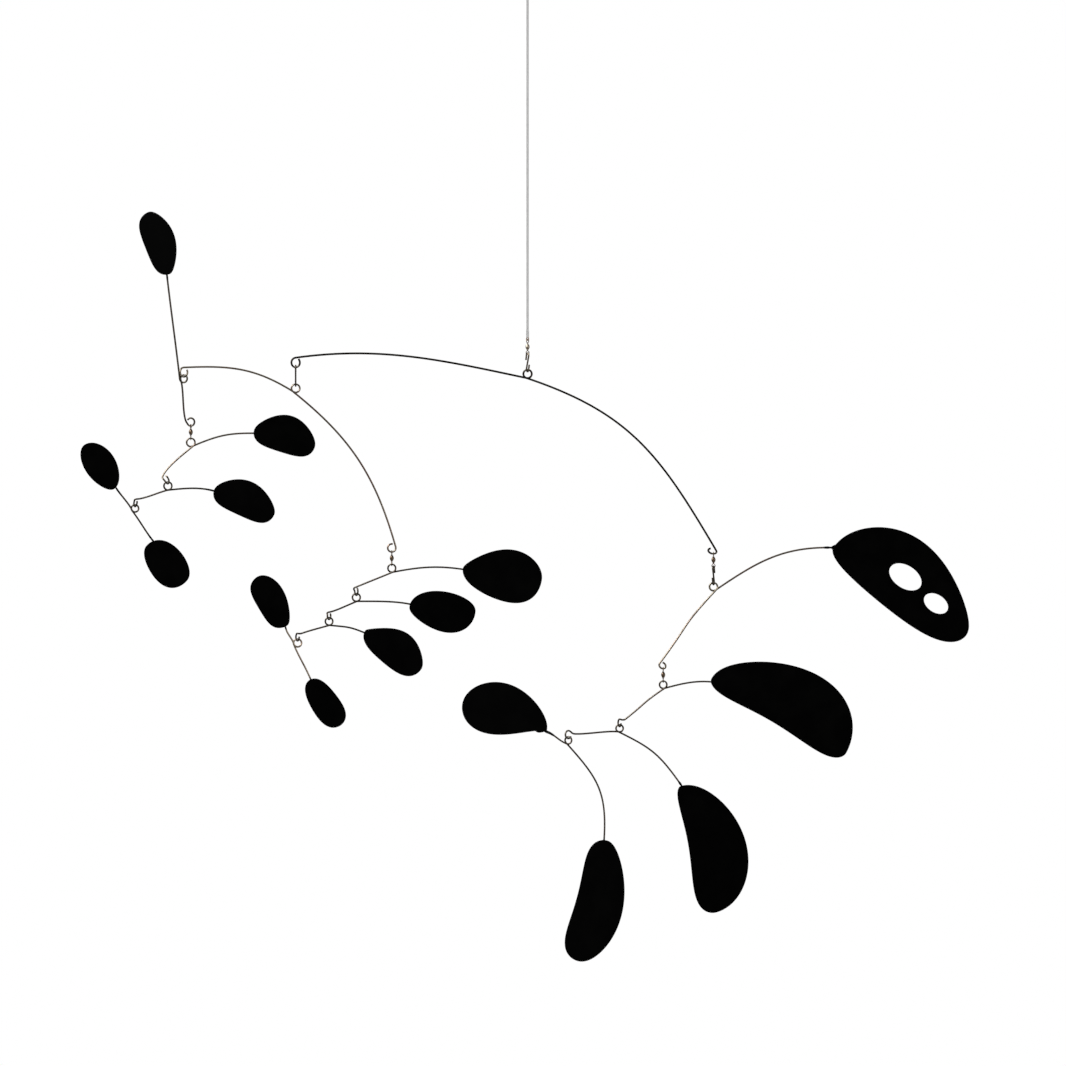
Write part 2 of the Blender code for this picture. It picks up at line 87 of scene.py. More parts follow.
Leaf = namedtuple("Leaf", "name stem start angle length above below holes", defaults=((),))
"""A leaf lies along an axis of this angle and length from start. Its edge swells to a height above the
axis and another below it, each with a lean towards the far end and a fullness at both ends. The wire
meets its edge at stem. A hole is an ellipse: middle, half length and half width, along the axis."""

Loop = namedtuple(
    "Loop", "middle radius turn sweep twist entry neck flatness tilt",
    defaults=(1, 300.0, 0.0, None, 0.0, 1.0, 0.0),
)
"""A loop curls from the wire's end, to its left with turn 1 and to its right with turn -1, and is
twisted out of the arm's plane about the vertical. The wire may bend to another direction, entry, in a
short neck just before it. A flattened loop is an ellipse: flatness is its width over its length, and
its long axis is tilted from X."""

Run = namedtuple("Run", "leaving arriving end pull", defaults=(0.38,))
"""A run is the wire from the ring to one end, bent in one smooth curve between two directions."""

Arm = namedtuple("Arm", "name wire ring facing left right")
"""An arm's wire is main, arm or fan wire. Its ring has this middle radius, and its plane faces this many
degrees to the left."""

ARMS = (
    Arm(
        "main_arm", "main", 5.1, 0.0,
        left=Run(168.0, 188.0, Loop((-278.3, 13.6), 5.1, sweep=312.0, flatness=1.14), pull=0.37),
        right=Run(-18.5, -59.5, Loop(
            (221.8, -212.6), 5.2, turn=-1, sweep=270.0, flatness=0.6, tilt=-15.0,
        ), pull=0.43),
    ),
    Arm(
        "left_arm", "arm", 5.0, 6.0,
        left=Run(148.0, 182.5, Loop((-134.7, 19.2), 5.1, twist=26.0, flatness=1.12), pull=0.41),
        right=Run(-38.5, -74.0, Loop((116.0, -191.55), 4.9, turn=-1), pull=0.4),
    ),
    Arm(
        "mast_arm", "arm", 4.6, -20.0,
        left=Run(96.5, 96.5, Leaf(
            "mast_leaf", (-21.0, 124.1), (-16.5, 125.6), 110.5, 79.5,
            (18.5, 0.09, 0.46), (21.5, 0.1, -0.28),
        ), pull=0.24),
        right=Run(-70.0, -66.5, Loop((8.6, -51.95), 4.8, sweep=285.0, entry=-45.0, neck=5.0), pull=0.24),
    ),
    Arm(
        "upper_fan_arm_1", "fan", 5.0, 6.0,
        left=Run(-138.5, -109.5, Loop(
            (-29.2, -44.8), 6.2, twist=50.0, flatness=0.56, tilt=-42.0,
        ), pull=0.24),
        right=Run(23.0, -0.5, Leaf(
            "upper_fan_leaf_1", (75.5, 11.1), (76.0, 14.6), -15.0, 76.0,
            (28.5, 0.03, -0.28), (17.0, 0.09, 0.42),
        ), pull=0.42),
    ),
    Arm(
        "upper_fan_arm_2", "fan", 4.9, -6.0,
        left=Run(-169.5, -179.5, Loop(
            (-39.0, -20.3), 5.0, twist=-54.0, flatness=0.7, tilt=56.0,
        ), pull=0.24),
        right=Run(6.0, -16.0, Leaf(
            "upper_fan_leaf_2", (56.0, -6.1), (56.0, -4.4), -22.5, 78.5,
            (26.0, -0.04, -0.26), (17.0, 0.08, 0.46),
        ), pull=0.34),
    ),
    Arm(
        "upper_fan_arm_3", "fan", 4.4, 8.0,
        left=Run(112.0, 119.5, Leaf(
            "upper_fan_leaf_3", (-22.8, 24.3), (-25.2, 23.4), 124.5, 64.0,
            (16.5, 0.09, -0.08), (21.0, 0.07, -0.06),
        ), pull=0.24),
        right=Run(-50.5, -49.0, Leaf(
            "upper_fan_leaf_4", (22.7, -39.8), (13.6, -44.9), -40.0, 64.5,
            (21.5, -0.14, 0.03), (23.0, 0.26, 0.06),
        ), pull=0.28),
    ),
    Arm(
        "middle_fan_arm_1", "fan", 4.8, -7.0,
        left=Run(-157.5, -157.5, Loop((-42.8, -27.8), 4.9, twist=-60.0), pull=0.36),
        right=Run(11.0, -8.5, Leaf(
            "middle_fan_leaf_1", (86.1, -1.3), (86.0, -0.7), -7.5, 96.5,
            (30.0, 0.26, -0.21), (31.5, 0.28, 0.11),
        )),
    ),
    Arm(
        "middle_fan_arm_2", "fan", 4.7, 6.0,
        left=Run(-161.0, -171.5, Loop((-33.0, -22.2), 4.4, twist=58.0), pull=0.25),
        right=Run(-0.5, -11.5, Leaf(
            "middle_fan_leaf_2", (64.6, -8.1), (64.0, -11.8), -3.5, 80.0,
            (21.5, -0.12, 0.0), (27.0, 0.29, -0.07),
        ), pull=0.32),
    ),
    Arm(
        "middle_fan_arm_3", "fan", 4.6, -5.0,
        left=Run(-163.5, -159.0, Loop(
            (-37.9, -19.0), 4.5, twist=-58.0, entry=-200.0, neck=2.5,
        ), pull=0.26),
        right=Run(-6.0, -22.5, Leaf(
            "middle_fan_leaf_3", (44.5, -14.4), (43.6, -11.1), -34.5, 82.0,
            (26.0, 0.19, -0.43), (19.5, 0.18, 0.3),
        ), pull=0.5),
    ),
    Arm(
        "middle_fan_arm_4", "fan", 4.8, 9.0,
        left=Run(109.0, 105.5, Leaf(
            "middle_fan_leaf_4", (-14.5, 17.5), (-13.0, 20.9), 122.0, 69.0,
            (18.5, -0.03, 0.44), (18.0, 0.24, -0.11),
        ), pull=0.37),
        right=Run(-67.5, -67.0, Leaf(
            "middle_fan_leaf_5", (15.9, -43.4), (13.8, -44.8), -54.5, 66.5,
            (16.5, 0.09, 0.26), (17.5, 0.13, 0.2),
        ), pull=0.36),
    ),
    Arm(
        "right_arm", "arm", 4.8, 5.0,
        left=Run(-133.0, -127.0, Loop((-61.6, -94.55), 4.3, flatness=0.8, tilt=-40.0), pull=0.59),
        right=Run(34.0, -0.5, Leaf(
            "pierced_leaf", (140.4, 47.0), (144.6, 46.8), -33.0, 192.0,
            (64.0, -0.21, -0.19), (26.0, 0.32, 0.23),
            holes=(((231.6, 11.8), 21.5, 13.5), ((268.6, -20.2), 16.0, 10.5)),
        ), pull=0.4),
    ),
    Arm(
        "right_fan_arm_1", "fan", 4.5, -5.0,
        left=Run(-146.0, -142.0, Loop(
            (-52.4, -45.9), 4.5, twist=-62.0, entry=-215.0, neck=3.4,
        ), pull=0.6),
        right=Run(15.0, -5.0, Leaf(
            "right_fan_leaf_1", (58.7, 3.4), (58.1, 7.5), -28.7, 184.9,
            (63.6, 0.23, -0.03), (10.6, 0.34, 1.55),
        ), pull=0.37),
    ),
    Arm(
        "right_fan_arm_2", "fan", 4.3, 8.0,
        left=Run(171.5, 174.0, Loop(
            (-62.3, -7.5), 4.2, twist=24.0, entry=120.0, neck=3.0, flatness=1.15,
        ), pull=0.24),
        right=Run(-26.0, -54.5, Leaf(
            "right_fan_leaf_2", (75.2, -68.7), (74.3, -69.3), -74.0, 158.0,
            (57.0, 0.09, -0.06), (12.0, 0.9, 1.33),
        ), pull=0.46),
    ),
    Arm(
        "right_fan_arm_3", "fan", 4.4, -18.0,
        left=Run(160.0, 166.5, Leaf(
            "right_fan_leaf_3", (-28.7, 10.7), (-26.4, 10.6), 161.1, 111.5,
            (23.6, 0.78, -0.24), (38.1, 0.11, -0.12),
        ), pull=0.37),
        right=Run(-46.5, -93.5, Leaf(
            "right_fan_leaf_4", (44.8, -117.0), (49.4, -119.9), -104.5, 149.5,
            (39.5, 0.12, -0.16), (20.0, 0.08, 1.01),
        ), pull=0.46),
    ),
)

S_HOOK_FACINGS = {"main_arm": 120.0, "left_arm": 90.0, "right_arm": 70.0}
SWIVEL_FACINGS = {
    "main_arm": (50.0, 210.0),
    "upper_fan_arm_1": (70.0, 96.0),
    "middle_fan_arm_1": (96.0, 83.0),
    "right_arm": (90.0, 160.0),
    "right_fan_arm_1": (95.0, 85.0),
}
"""Which way each S-hook, and each swivel's upper and lower eye, is turned about the vertical."""

# Wire paths
CLEARANCE = 0.3
PASSING_ROOM = 0.5
WIRE_BEHIND_LEAF = 14.0
TWIST_OVER = 60.0
FINE_STEP = 0.2
LONGEST_STEP = 2.0
MOST_TURN = 7.0
BEND_EASING = 0.35
CURVE_POINTS = 240
RING_POINTS = 90
WIRE_SIDES = 16
END_ROUNDING = 0.28
CORNER_ANGLES = np.radians((0.0, 30.0, 60.0, 90.0))

# Marks for a vertex that is far from paint, or from a leaf's edge
FAR_FROM_PAINT = 60.0
FAR_FROM_EDGE = 3.0

# Leaves
EDGE_POINTS = 220
HOLE_POINTS = 96
INNER_SPACING = 6.0
INNER_MARGIN = 2.5
WAVE_LENGTH = 70.0
LEAF_SHARP_ANGLE = 80.0

# The photograph's frame at the object, in metres, and the camera's sensor in millimetres
PHOTO_WIDTH = 1.2792
PHOTO_MIDDLE = (0.0065, -0.6569)
CAMERA_DISTANCE = 20.0
SENSOR = 36.0


def towards(angle):
    """The unit vector of an angle in an arm's plane, as x and z."""
    return np.array([math.cos(math.radians(angle)), math.sin(math.radians(angle))])


def across(angle):
    """The unit vector square to an angle, to its left."""
    return towards(angle + 90.0)


# Shapes from rings of points


def band_faces(first, count, sides):
    """Four-sided faces between rings of vertices that are numbered one after another from the first."""
    faces = []
    for low in range(first, first + (count - 1) * sides, sides):
        for k in range(sides):
            after = (k + 1) % sides
            faces.append((low + k, low + after, low + sides + after, low + sides + k))
    return faces


def skin(rings):
    """The vertices and faces of a solid through rings of points, with both its ends capped."""
    count, sides = len(rings), len(rings[0])
    vertices = np.concatenate(rings)
    faces = band_faces(0, count, sides)
    faces.append(tuple(range(sides))[::-1])
    faces.append(tuple(range((count - 1) * sides, count * sides)))
    return vertices, faces


def distances(path):
    """How far along the path each of its places is."""
    return np.concatenate([[0.0], np.cumsum(np.linalg.norm(np.diff(path, axis=0), axis=1))])


def sample(rows, along, wanted):
    """Rows of x, y and z, one for each distance in along, read at the wanted distances."""
    return np.column_stack([np.interp(wanted, along, rows[:, k]) for k in range(3)])


def even_path(path):
    """The path at even, fine steps."""
    path = np.asarray(path, float)
    along = distances(path)
    return sample(path, along, np.linspace(0.0, along[-1], int(along[-1] / FINE_STEP) + 2))


def ease_path(path, spread):
    """The path with its kinks eased over a spread in millimetres. Its ends stay where they are."""
    even = even_path(path)
    reach = int(3 * spread / FINE_STEP) + 1
    weights = np.exp(-0.5 * (np.arange(-reach, reach + 1) * FINE_STEP / spread) ** 2)
    weights /= weights.sum()
    before = 2 * even[0] - even[reach:0:-1]
    after = 2 * even[-1] - even[-2:-reach - 2:-1]
    padded = np.concatenate([before, even, after])
    return np.column_stack([np.convolve(padded[:, k], weights, "valid") for k in range(3)])


def thin_path(path, longest=LONGEST_STEP, most_turn=MOST_TURN):
    """Fewer places along the path, closer together where it bends, at most this far and turn apart."""
    steps = np.diff(path, axis=0)
    lengths = np.linalg.norm(steps, axis=1)
    headings = steps / lengths[:, None]
    turns = np.degrees(np.arccos(np.clip((headings[1:] * headings[:-1]).sum(1), -1.0, 1.0)))
    turns = np.concatenate([[0.0], turns])
    cost = np.concatenate([[0.0], np.cumsum(lengths / longest + turns / most_turn)])
    return sample(path, cost, np.linspace(0.0, cost[-1], math.ceil(cost[-1]) + 1))


def wire_frames(path):
    """Two directions square to the path at each place, carried along it without twisting."""
    headings = np.gradient(path, axis=0)
    headings /= np.linalg.norm(headings, axis=1)[:, None]
    side = np.cross(headings[0], (0.0, 1.0, 0.0))
    if np.linalg.norm(side) < 0.1:
        side = np.cross(headings[0], (1.0, 0.0, 0.0))
    sides = []
    for heading in headings:
        side = side - heading * (side @ heading)
        side = side / np.linalg.norm(side)
        sides.append(side)
    return np.array(sides), np.cross(headings, sides)


def wire_solid(path, radius, sides=WIRE_SIDES, rounding=END_ROUNDING):
    """A round wire along a path, with its cut ends rounded over.

    The radius may differ from place to place. It returns the vertices, the faces, and for each vertex
    its place in the same wire if it were straight.
    """
    radius = np.broadcast_to(np.asarray(radius, float), len(path)).copy()
    along = distances(path)
    keep = (along > 1.5 * rounding) & (along < along[-1] - 1.5 * rounding)
    heads = rounding * (1 - np.cos(CORNER_ANGLES))
    shrinks = rounding * (1 - np.sin(CORNER_ANGLES))
    places = np.concatenate([heads, along[keep], along[-1] - heads[::-1]])
    widths = np.interp(places, along, radius)
    widths[:len(heads)] -= shrinks
    widths[-len(heads):] -= shrinks[::-1]
    middles, first, second = (sample(rows, along, places) for rows in (path, *wire_frames(path)))
    angles = np.linspace(0.0, math.tau, sides, endpoint=False)
    round_x, round_y = np.cos(angles)[None, :, None], np.sin(angles)[None, :, None]
    wide = widths[:, None, None]
    rings = middles[:, None] + wide * (round_x * first[:, None] + round_y * second[:, None])
    lengthwise = np.broadcast_to(places[:, None, None], (len(places), sides, 1))
    straight = np.concatenate([wide * round_x, wide * round_y, lengthwise], axis=2)
    vertices, faces = skin(list(rings))
    return vertices, faces, straight.reshape(-1, 3)


def circles(radii, heights, sides):
    """Rings of points round the vertical, one for each radius and height."""
    angles = np.linspace(0.0, math.tau, sides, endpoint=False)
    circle = np.column_stack([np.cos(angles), np.sin(angles)])
    return [
        np.column_stack([radius * circle, np.full(sides, height)])
        for radius, height in zip(radii, heights)
    ]


def turned_solid(profile, sides):
    """A turned solid. Its profile is of radius and height, from the middle of one end to the other's."""
    profile = np.array(profile, float)
    radii, heights = profile.T
    vertices, faces = skin(circles(radii, heights, sides))
    straight = np.concatenate(circles(radii, distances(profile), sides))
    if heights[0] >= heights[-1]:
        faces = [face[::-1] for face in faces]
    return vertices, faces, straight


def arc(radius, first, last, count):
    """Places round an arc between two angles, as x and z from its middle."""
    return [radius * towards(angle) for angle in np.linspace(first, last, count)]


def placed(solid, at, facing=0.0):
    """A solid in millimetres turned about the vertical, then set at a place."""
    vertices, faces, straight = solid
    x, y, z = vertices.T
    cosine, sine = towards(facing)
    turned = np.column_stack([x * cosine - y * sine, x * sine + y * cosine, z])
    return turned + np.asarray(at, float), faces, straight


def make_piece(name, solids, finish, node, marks=None, sharp=35.0):
    """One piece of the mobile from solids in millimetres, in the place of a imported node.

    Each solid is vertices, faces and the vertices' straight places. Marks are further values for every
    vertex, by name. An edge that turns further than sharp, in degrees, isn't shaded smooth.
    """
    vertices, faces, straight, first = [], [], [], 0
    for some_vertices, some_faces, some_straight in solids:
        vertices.append(some_vertices)
        straight.append(some_straight)
        faces += [tuple(int(corner) + first for corner in face) for face in some_faces]
        first += len(some_vertices)
    mesh = bpy.data.meshes.new(name)
    mesh.from_pydata(np.concatenate(vertices) * MM, [], faces)
    lines = mesh.attributes.new("straight", "FLOAT_VECTOR", "POINT")
    lines.data.foreach_set("vector", (np.concatenate(straight) * MM).astype(np.float32).ravel())
    for mark_name, values in (marks or {}).items():
        layer = mesh.attributes.new(mark_name, "FLOAT", "POINT")
        layer.data.foreach_set("value", np.asarray(values, np.float32))
    mesh.validate()
    mesh.shade_smooth()
    mesh.set_sharp_from_angle(angle=math.radians(sharp))
    mesh.materials.append(finish)
    piece = bpy.data.objects.new(name, mesh)
    bpy.context.scene.collection.objects.link(piece)
    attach(piece, frame["nodes"][node]["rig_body"])
    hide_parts(node)
    return piece


def node_middle(node):
    """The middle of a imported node's box, in millimetres."""
    low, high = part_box(node)
    return np.array((low + high) / 2) * MILLIMETRES


# The arms


def ring_place(arm_name):
    """The middle of an arm's ring, in millimetres, from the joint that turns it."""
    joint = next(joint for joint in frame["joints"] if joint["name"] == f"{arm_name}_turn")
    return np.array(joint["pos_m"]) * MILLIMETRES


def ring_sweep(arm):
    """Where the wire comes onto the arm's ring from the left run, and how far it goes round."""
    first = (arm.left.leaving + 90) % 360
    return first, (arm.right.leaving - 90 - first + 180) % 360 + 180


def ring_depth(arm, wire, angle):
    """How far behind the arm's plane the wire is at an angle round the ring, as it steps past itself."""
    return (angle - 450) / ring_sweep(arm)[1] * (wire + PASSING_ROOM)


def run_depth(arm, wire, side):
    """How far behind the arm's plane one of its runs is."""
    first, sweep = ring_sweep(arm)
    return ring_depth(arm, wire, first if side < 0 else first + sweep)


def bend(start, leaving, end, arriving, pull):
    """Places along one smooth bend between two places and directions in an arm's plane."""
    start, end = np.array(start), np.array(end)
    handle = pull * np.linalg.norm(end - start)
    t = np.linspace(0.0, 1.0, CURVE_POINTS)[:, None]
    return (
        (1 - t) ** 3 * start
        + 3 * t * (1 - t) ** 2 * (start + handle * towards(leaving))
        + 3 * t**2 * (1 - t) * (end - handle * towards(arriving))
        + t**3 * end
    )


def onto_loop(loop, direction):
    """The angle round a loop at which the wire runs in the given direction."""
    x, z = towards(direction - 90 * loop.turn - loop.tilt)
    return math.degrees(math.atan2(loop.flatness * z, x))


def on_loop(loop, angle):
    """The place on a loop at an angle round it, from its middle."""
    out, up = loop.radius * towards(angle)
    return out * towards(loop.tilt) + loop.flatness * up * across(loop.tilt)


def loop_lowest(loop, depth):
    """The middle of the wire at a loop's lowest place."""
    x, z = towards(loop.tilt)
    out, up = on_loop(loop, math.degrees(math.atan2(-loop.flatness * x, -z)))
    right, back = out * towards(loop.twist)
    return np.array([loop.middle[0] + right, depth + back, loop.middle[1] + up])


def loop_path(loop, direction, depth):
    """Places round a loop, from where the wire starts along it in the given direction."""
    first = onto_loop(loop, direction)
    path = []
    for turned in np.linspace(0.0, loop.sweep, RING_POINTS):
        out, up = on_loop(loop, first + loop.turn * turned)
        twist = math.radians(loop.twist) * min(1.0, turned / TWIST_OVER)
        right, back = out * math.cos(twist), out * math.sin(twist)
        path.append((loop.middle[0] + right, depth + back, loop.middle[1] + up))
    return path


def both_runs(arm):
    """An arm's two runs, each after its side: -1 for the left and 1 for the right."""
    return (-1, arm.left), (1, arm.right)


def run_path(arm, wire, side):
    """Places along the wire from the ring to one end. Side is -1 to the left and 1 to the right."""
    run = arm.left if side < 0 else arm.right
    depth = run_depth(arm, wire, side)
    start = arm.ring * towards(run.leaving - 90 * side)
    if isinstance(run.end, Leaf):
        flat = bend(start, run.leaving, run.end.stem, run.arriving, run.pull)
        flat = np.concatenate([flat, [run.end.stem + WIRE_BEHIND_LEAF * towards(run.arriving)]])
        return [(x, depth, z) for x, z in flat]
    loop = run.end
    entry = run.arriving if loop.entry is None else loop.entry
    neck = loop.neck * towards((run.arriving + entry) / 2)
    before_loop = loop.middle + on_loop(loop, onto_loop(loop, entry)) - neck
    flat = bend(start, run.leaving, before_loop, run.arriving, run.pull)
    return [(x, depth, z) for x, z in flat] + loop_path(loop, entry, depth)


def ring_path(arm, wire):
    """Places round an arm's ring, between its two runs."""
    first, sweep = ring_sweep(arm)
    path = []
    for angle in np.linspace(first, first + sweep, RING_POINTS)[1:-1]:
        x, z = arm.ring * towards(angle)
        path.append((x, ring_depth(arm, wire, angle), z))
    return path


def arm_wire(arm, wires):
    """The thickness of an arm's wire, in millimetres."""
    sizes = {"main": wires.main_wire, "arm": wires.arm_wire, "fan": wires.fan_wire}
    return sizes[arm.wire] * MILLIMETRES


def arm_solid(arm, wires):
    """An arm's one wire with its marks: how far each vertex is from paint, and how rubbed it is."""
    wire = arm_wire(arm, wires)
    path = run_path(arm, wire, -1)[::-1] + ring_path(arm, wire) + run_path(arm, wire, 1)
    path = thin_path(ease_path(path, BEND_EASING * wire))
    bare = np.full(len(path), FAR_FROM_PAINT)
    swollen = np.zeros(len(path))
    rub_reach = 1.5 * wire
    rubbed = np.exp(-(np.linalg.norm(path - (0.0, 0.0, arm.ring), axis=1) / rub_reach) ** 2)
    for side, run in both_runs(arm):
        if isinstance(run.end, Leaf):
            stem = np.array([run.end.stem[0], run_depth(arm, wire, side), run.end.stem[1]])
            from_stem = np.linalg.norm(path - stem, axis=1)
            half = np.arange(len(path)) > len(path) / 2
            on_side = half if side > 0 else ~half
            beyond = (path[:, [0, 2]] - run.end.stem) @ towards(run.arriving) > 0
            usual = wires.painted_end * MILLIMETRES
            reach, thick = PAINTED_ENDS.get(run.end.name, (usual, 0.0))
            bare = np.where(on_side, np.where(beyond, -from_stem, from_stem) - reach, bare)
            coated = on_side & ~beyond & (from_stem < reach - 0.5)
            swollen[coated] = thick * np.sqrt(1 - from_stem[coated] / reach)
        else:
            low = loop_lowest(run.end, run_depth(arm, wire, side))
            rubbed += np.exp(-(np.linalg.norm(path - low, axis=1) / rub_reach) ** 2)
    radius = wire / 2 + swollen - wires.wear * MILLIMETRES * np.minimum(rubbed, 1.0)
    solid = wire_solid(path, radius)
    lengthwise, along = solid[2][:, 2], distances(path)
    marks = {
        "bare": np.interp(lengthwise, along, bare) * MM,
        "rubbed": np.interp(lengthwise, along, rubbed),
    }
    return placed(solid, ring_place(arm.name), arm.facing), marks


PAINTED_ENDS = {
    "mast_leaf": (6.0, 0.2), "upper_fan_leaf_2": (10.5, 0.15), "upper_fan_leaf_3": (8.5, 0.15),
    "upper_fan_leaf_4": (10.5, 0.15), "middle_fan_leaf_3": (3.5, 0.05), "pierced_leaf": (7.5, 0.5),
    "right_fan_leaf_2": (6.0, 0.5), "right_fan_leaf_3": (12.5, 0.7),
}
"""The leaves whose paint runs far along the wire: how far, and how thick it is at the leaf."""


# The leaves


def leaf_swell(leaf, place_on_axis, side):
    """How far a leaf's edge is above its axis with side 1, or below it with side -1.

    The place is from -1 to 1 along the axis.
    """
    height, lean, fullness = leaf.above if side > 0 else leaf.below
    round_off = np.sqrt(np.maximum(0.0, 1 - place_on_axis**2))
    return round_off * height * (1 + lean * place_on_axis + fullness * place_on_axis**2)


def leaf_edge(leaf):
    """Places round a leaf's edge, counterclockwise."""
    turned = np.linspace(0.0, math.tau, EDGE_POINTS, endpoint=False)
    place_on_axis, side = np.cos(turned), np.where(np.sin(turned) >= 0, 1, -1)
    swell = np.where(side > 0, leaf_swell(leaf, place_on_axis, 1), -leaf_swell(leaf, place_on_axis, -1))
    along = leaf.length / 2 * (1 + place_on_axis)
    return leaf.start + along[:, None] * towards(leaf.angle) + swell[:, None] * across(leaf.angle)


def hole_edge(leaf, middle, half_length, half_width):
    """Places round a hole's edge, clockwise."""
    turned = -np.linspace(0.0, math.tau, HOLE_POINTS, endpoint=False)
    return (
        middle
        + half_length * np.cos(turned)[:, None] * towards(leaf.angle)
        + half_width * np.sin(turned)[:, None] * across(leaf.angle)
    )


def in_hole(points, leaf, hole, margin):
    """Which points are in a hole, or nearer to it than the margin."""
    middle, half_length, half_width = hole
    offset = points - middle
    u = offset @ towards(leaf.angle) / (half_length + margin)
    v = offset @ across(leaf.angle) / (half_width + margin)
    return u**2 + v**2 < 1


def inner_points(leaf, margin):
    """A grid of places on the leaf, away from its edges."""
    count = int(leaf.length / INNER_SPACING) + 2
    u, v = np.meshgrid(np.arange(count) * INNER_SPACING, np.arange(-count, count) * INNER_SPACING)
    v = v + (np.arange(count) % 2) * INNER_SPACING / 2
    u, v = u.ravel(), v.ravel()
    place_on_axis = np.clip(2 * u / leaf.length - 1, -1, 1)
    top, foot = leaf_swell(leaf, place_on_axis, 1), -leaf_swell(leaf, place_on_axis, -1)
    kept = (v < top - margin) & (v > foot + margin) & (u > margin) & (u < leaf.length - margin)
    points = leaf.start + u[kept, None] * towards(leaf.angle) + v[kept, None] * across(leaf.angle)
    for hole in leaf.holes:
        points = points[~in_hole(points, leaf, hole, margin)]
    return points


def inset(loop, distance):
    """The closed loop moved into the sheet, which is on its left."""
    tangent = np.roll(loop, -1, axis=0) - np.roll(loop, 1, axis=0)
    tangent /= np.linalg.norm(tangent, axis=1)[:, None]
    return loop + distance * np.column_stack([-tangent[:, 1], tangent[:, 0]])


def edge_profile(half, rounding):
    """How far inside the outline a rounded cut edge is, and how deep, from the front face to the back."""
    front = [(2.5 * rounding, -half)]
    for a in CORNER_ANGLES:
        front.append((rounding * (1 - math.sin(a)), -half + rounding * (1 - math.cos(a))))
    return front + [(away, -depth) for away, depth in reversed(front)]


def at_depth(flat, depth):
    """Places in an arm's plane, moved to a depth."""
    return np.column_stack([flat[:, 0], np.full(len(flat), depth), flat[:, 1]])


def flat_faces(leaf, rings, inner, margin):
    """Faces of a leaf's flat side, over the places of its rings and its inner places, one after another."""
    points = np.concatenate(rings + [inner])
    edges, start = [], 0
    for ring in rings:
        edges += [(start + k, start + (k + 1) % len(ring)) for k in range(len(ring))]
        start += len(ring)
    found = delaunay_2d_cdt([Vector(point - leaf.start) for point in points], edges, [], 1, 1e-4)
    corners = []
    for origins, place in zip(found[3], found[0]):
        apart = np.linalg.norm(points - leaf.start - np.array(place), axis=1)
        corners.append(origins[0] if origins else int(apart.argmin()))
    faces = [[corners[c] for c in face] for face in found[2]]
    middles = np.array([points[face].mean(0) for face in faces])
    hollow = np.zeros(len(faces), bool)
    for hole in leaf.holes:
        hollow |= in_hole(middles, leaf, hole, margin)
    return [face for face, empty in zip(faces, hollow) if not empty]


def sheet_solid(leaf, thickness, rounding):
    """A leaf's sheet with rounded cut edges, and how far each vertex is from them. Depth 0 is its middle."""
    half = thickness / 2
    profile = edge_profile(half, rounding)
    loops = [leaf_edge(leaf)] + [hole_edge(leaf, *hole) for hole in leaf.holes]
    vertices, faces, rims, firsts = [], [], [], []
    for loop in loops:
        first, sides = sum(map(len, vertices)), len(loop)
        for away, depth in profile:
            vertices.append(at_depth(inset(loop, away), depth))
            rims.append(np.full(sides, away))
        faces += band_faces(first, len(profile), sides)
        firsts.append((first, first + (len(profile) - 1) * sides))
    margin = profile[0][0]
    inner = inner_points(leaf, INNER_MARGIN)
    flat = flat_faces(leaf, [inset(loop, margin) for loop in loops], inner, margin)
    for back, depth in enumerate((-half, half)):
        numbers = []
        for ring_first, loop in zip(firsts, loops):
            numbers += range(ring_first[back], ring_first[back] + len(loop))
        first = sum(map(len, vertices))
        numbers += range(first, first + len(inner))
        vertices.append(at_depth(inner, depth))
        rims.append(np.full(len(inner), FAR_FROM_EDGE))
        for face in flat:
            turned = [numbers[corner] for corner in face]
            faces.append(tuple(turned[::-1] if back else turned))
    return np.concatenate(vertices), faces, np.concatenate(rims)


def fastening(leaf, arriving, wire, sheet_back, wire_middle):
    """A low, slightly lumpy mound of solder on a leaf's back, over the wire's end."""
    half_length, half_width = 0.5 * WIRE_BEHIND_LEAF - 1.0, 1.6 * wire
    peak = wire_middle + 0.28 * wire - sheet_back
    middle = leaf.stem + (0.5 * WIRE_BEHIND_LEAF + 0.6) * towards(arriving)
    turned = np.linspace(0.0, math.tau, 40, endpoint=False)
    rings = []
    for share in (1.0, 1.0, 0.93, 0.82, 0.68, 0.5, 0.3, 0.1):
        height = sheet_back - 0.25 if not rings else sheet_back + peak * (1 - share**2) ** 1.4 + 0.02
        lumps = 1 + 0.05 * np.sin(3 * turned + leaf.length) + 0.03 * np.sin(5 * turned)
        flat = (
            middle
            + (half_length * share * lumps * np.cos(turned))[:, None] * towards(arriving)
            + (half_width * share * lumps * np.sin(turned))[:, None] * across(arriving)
        )
        rings.append(at_depth(flat, height))
    vertices, faces = skin(rings)
    return vertices, [face[::-1] for face in faces]


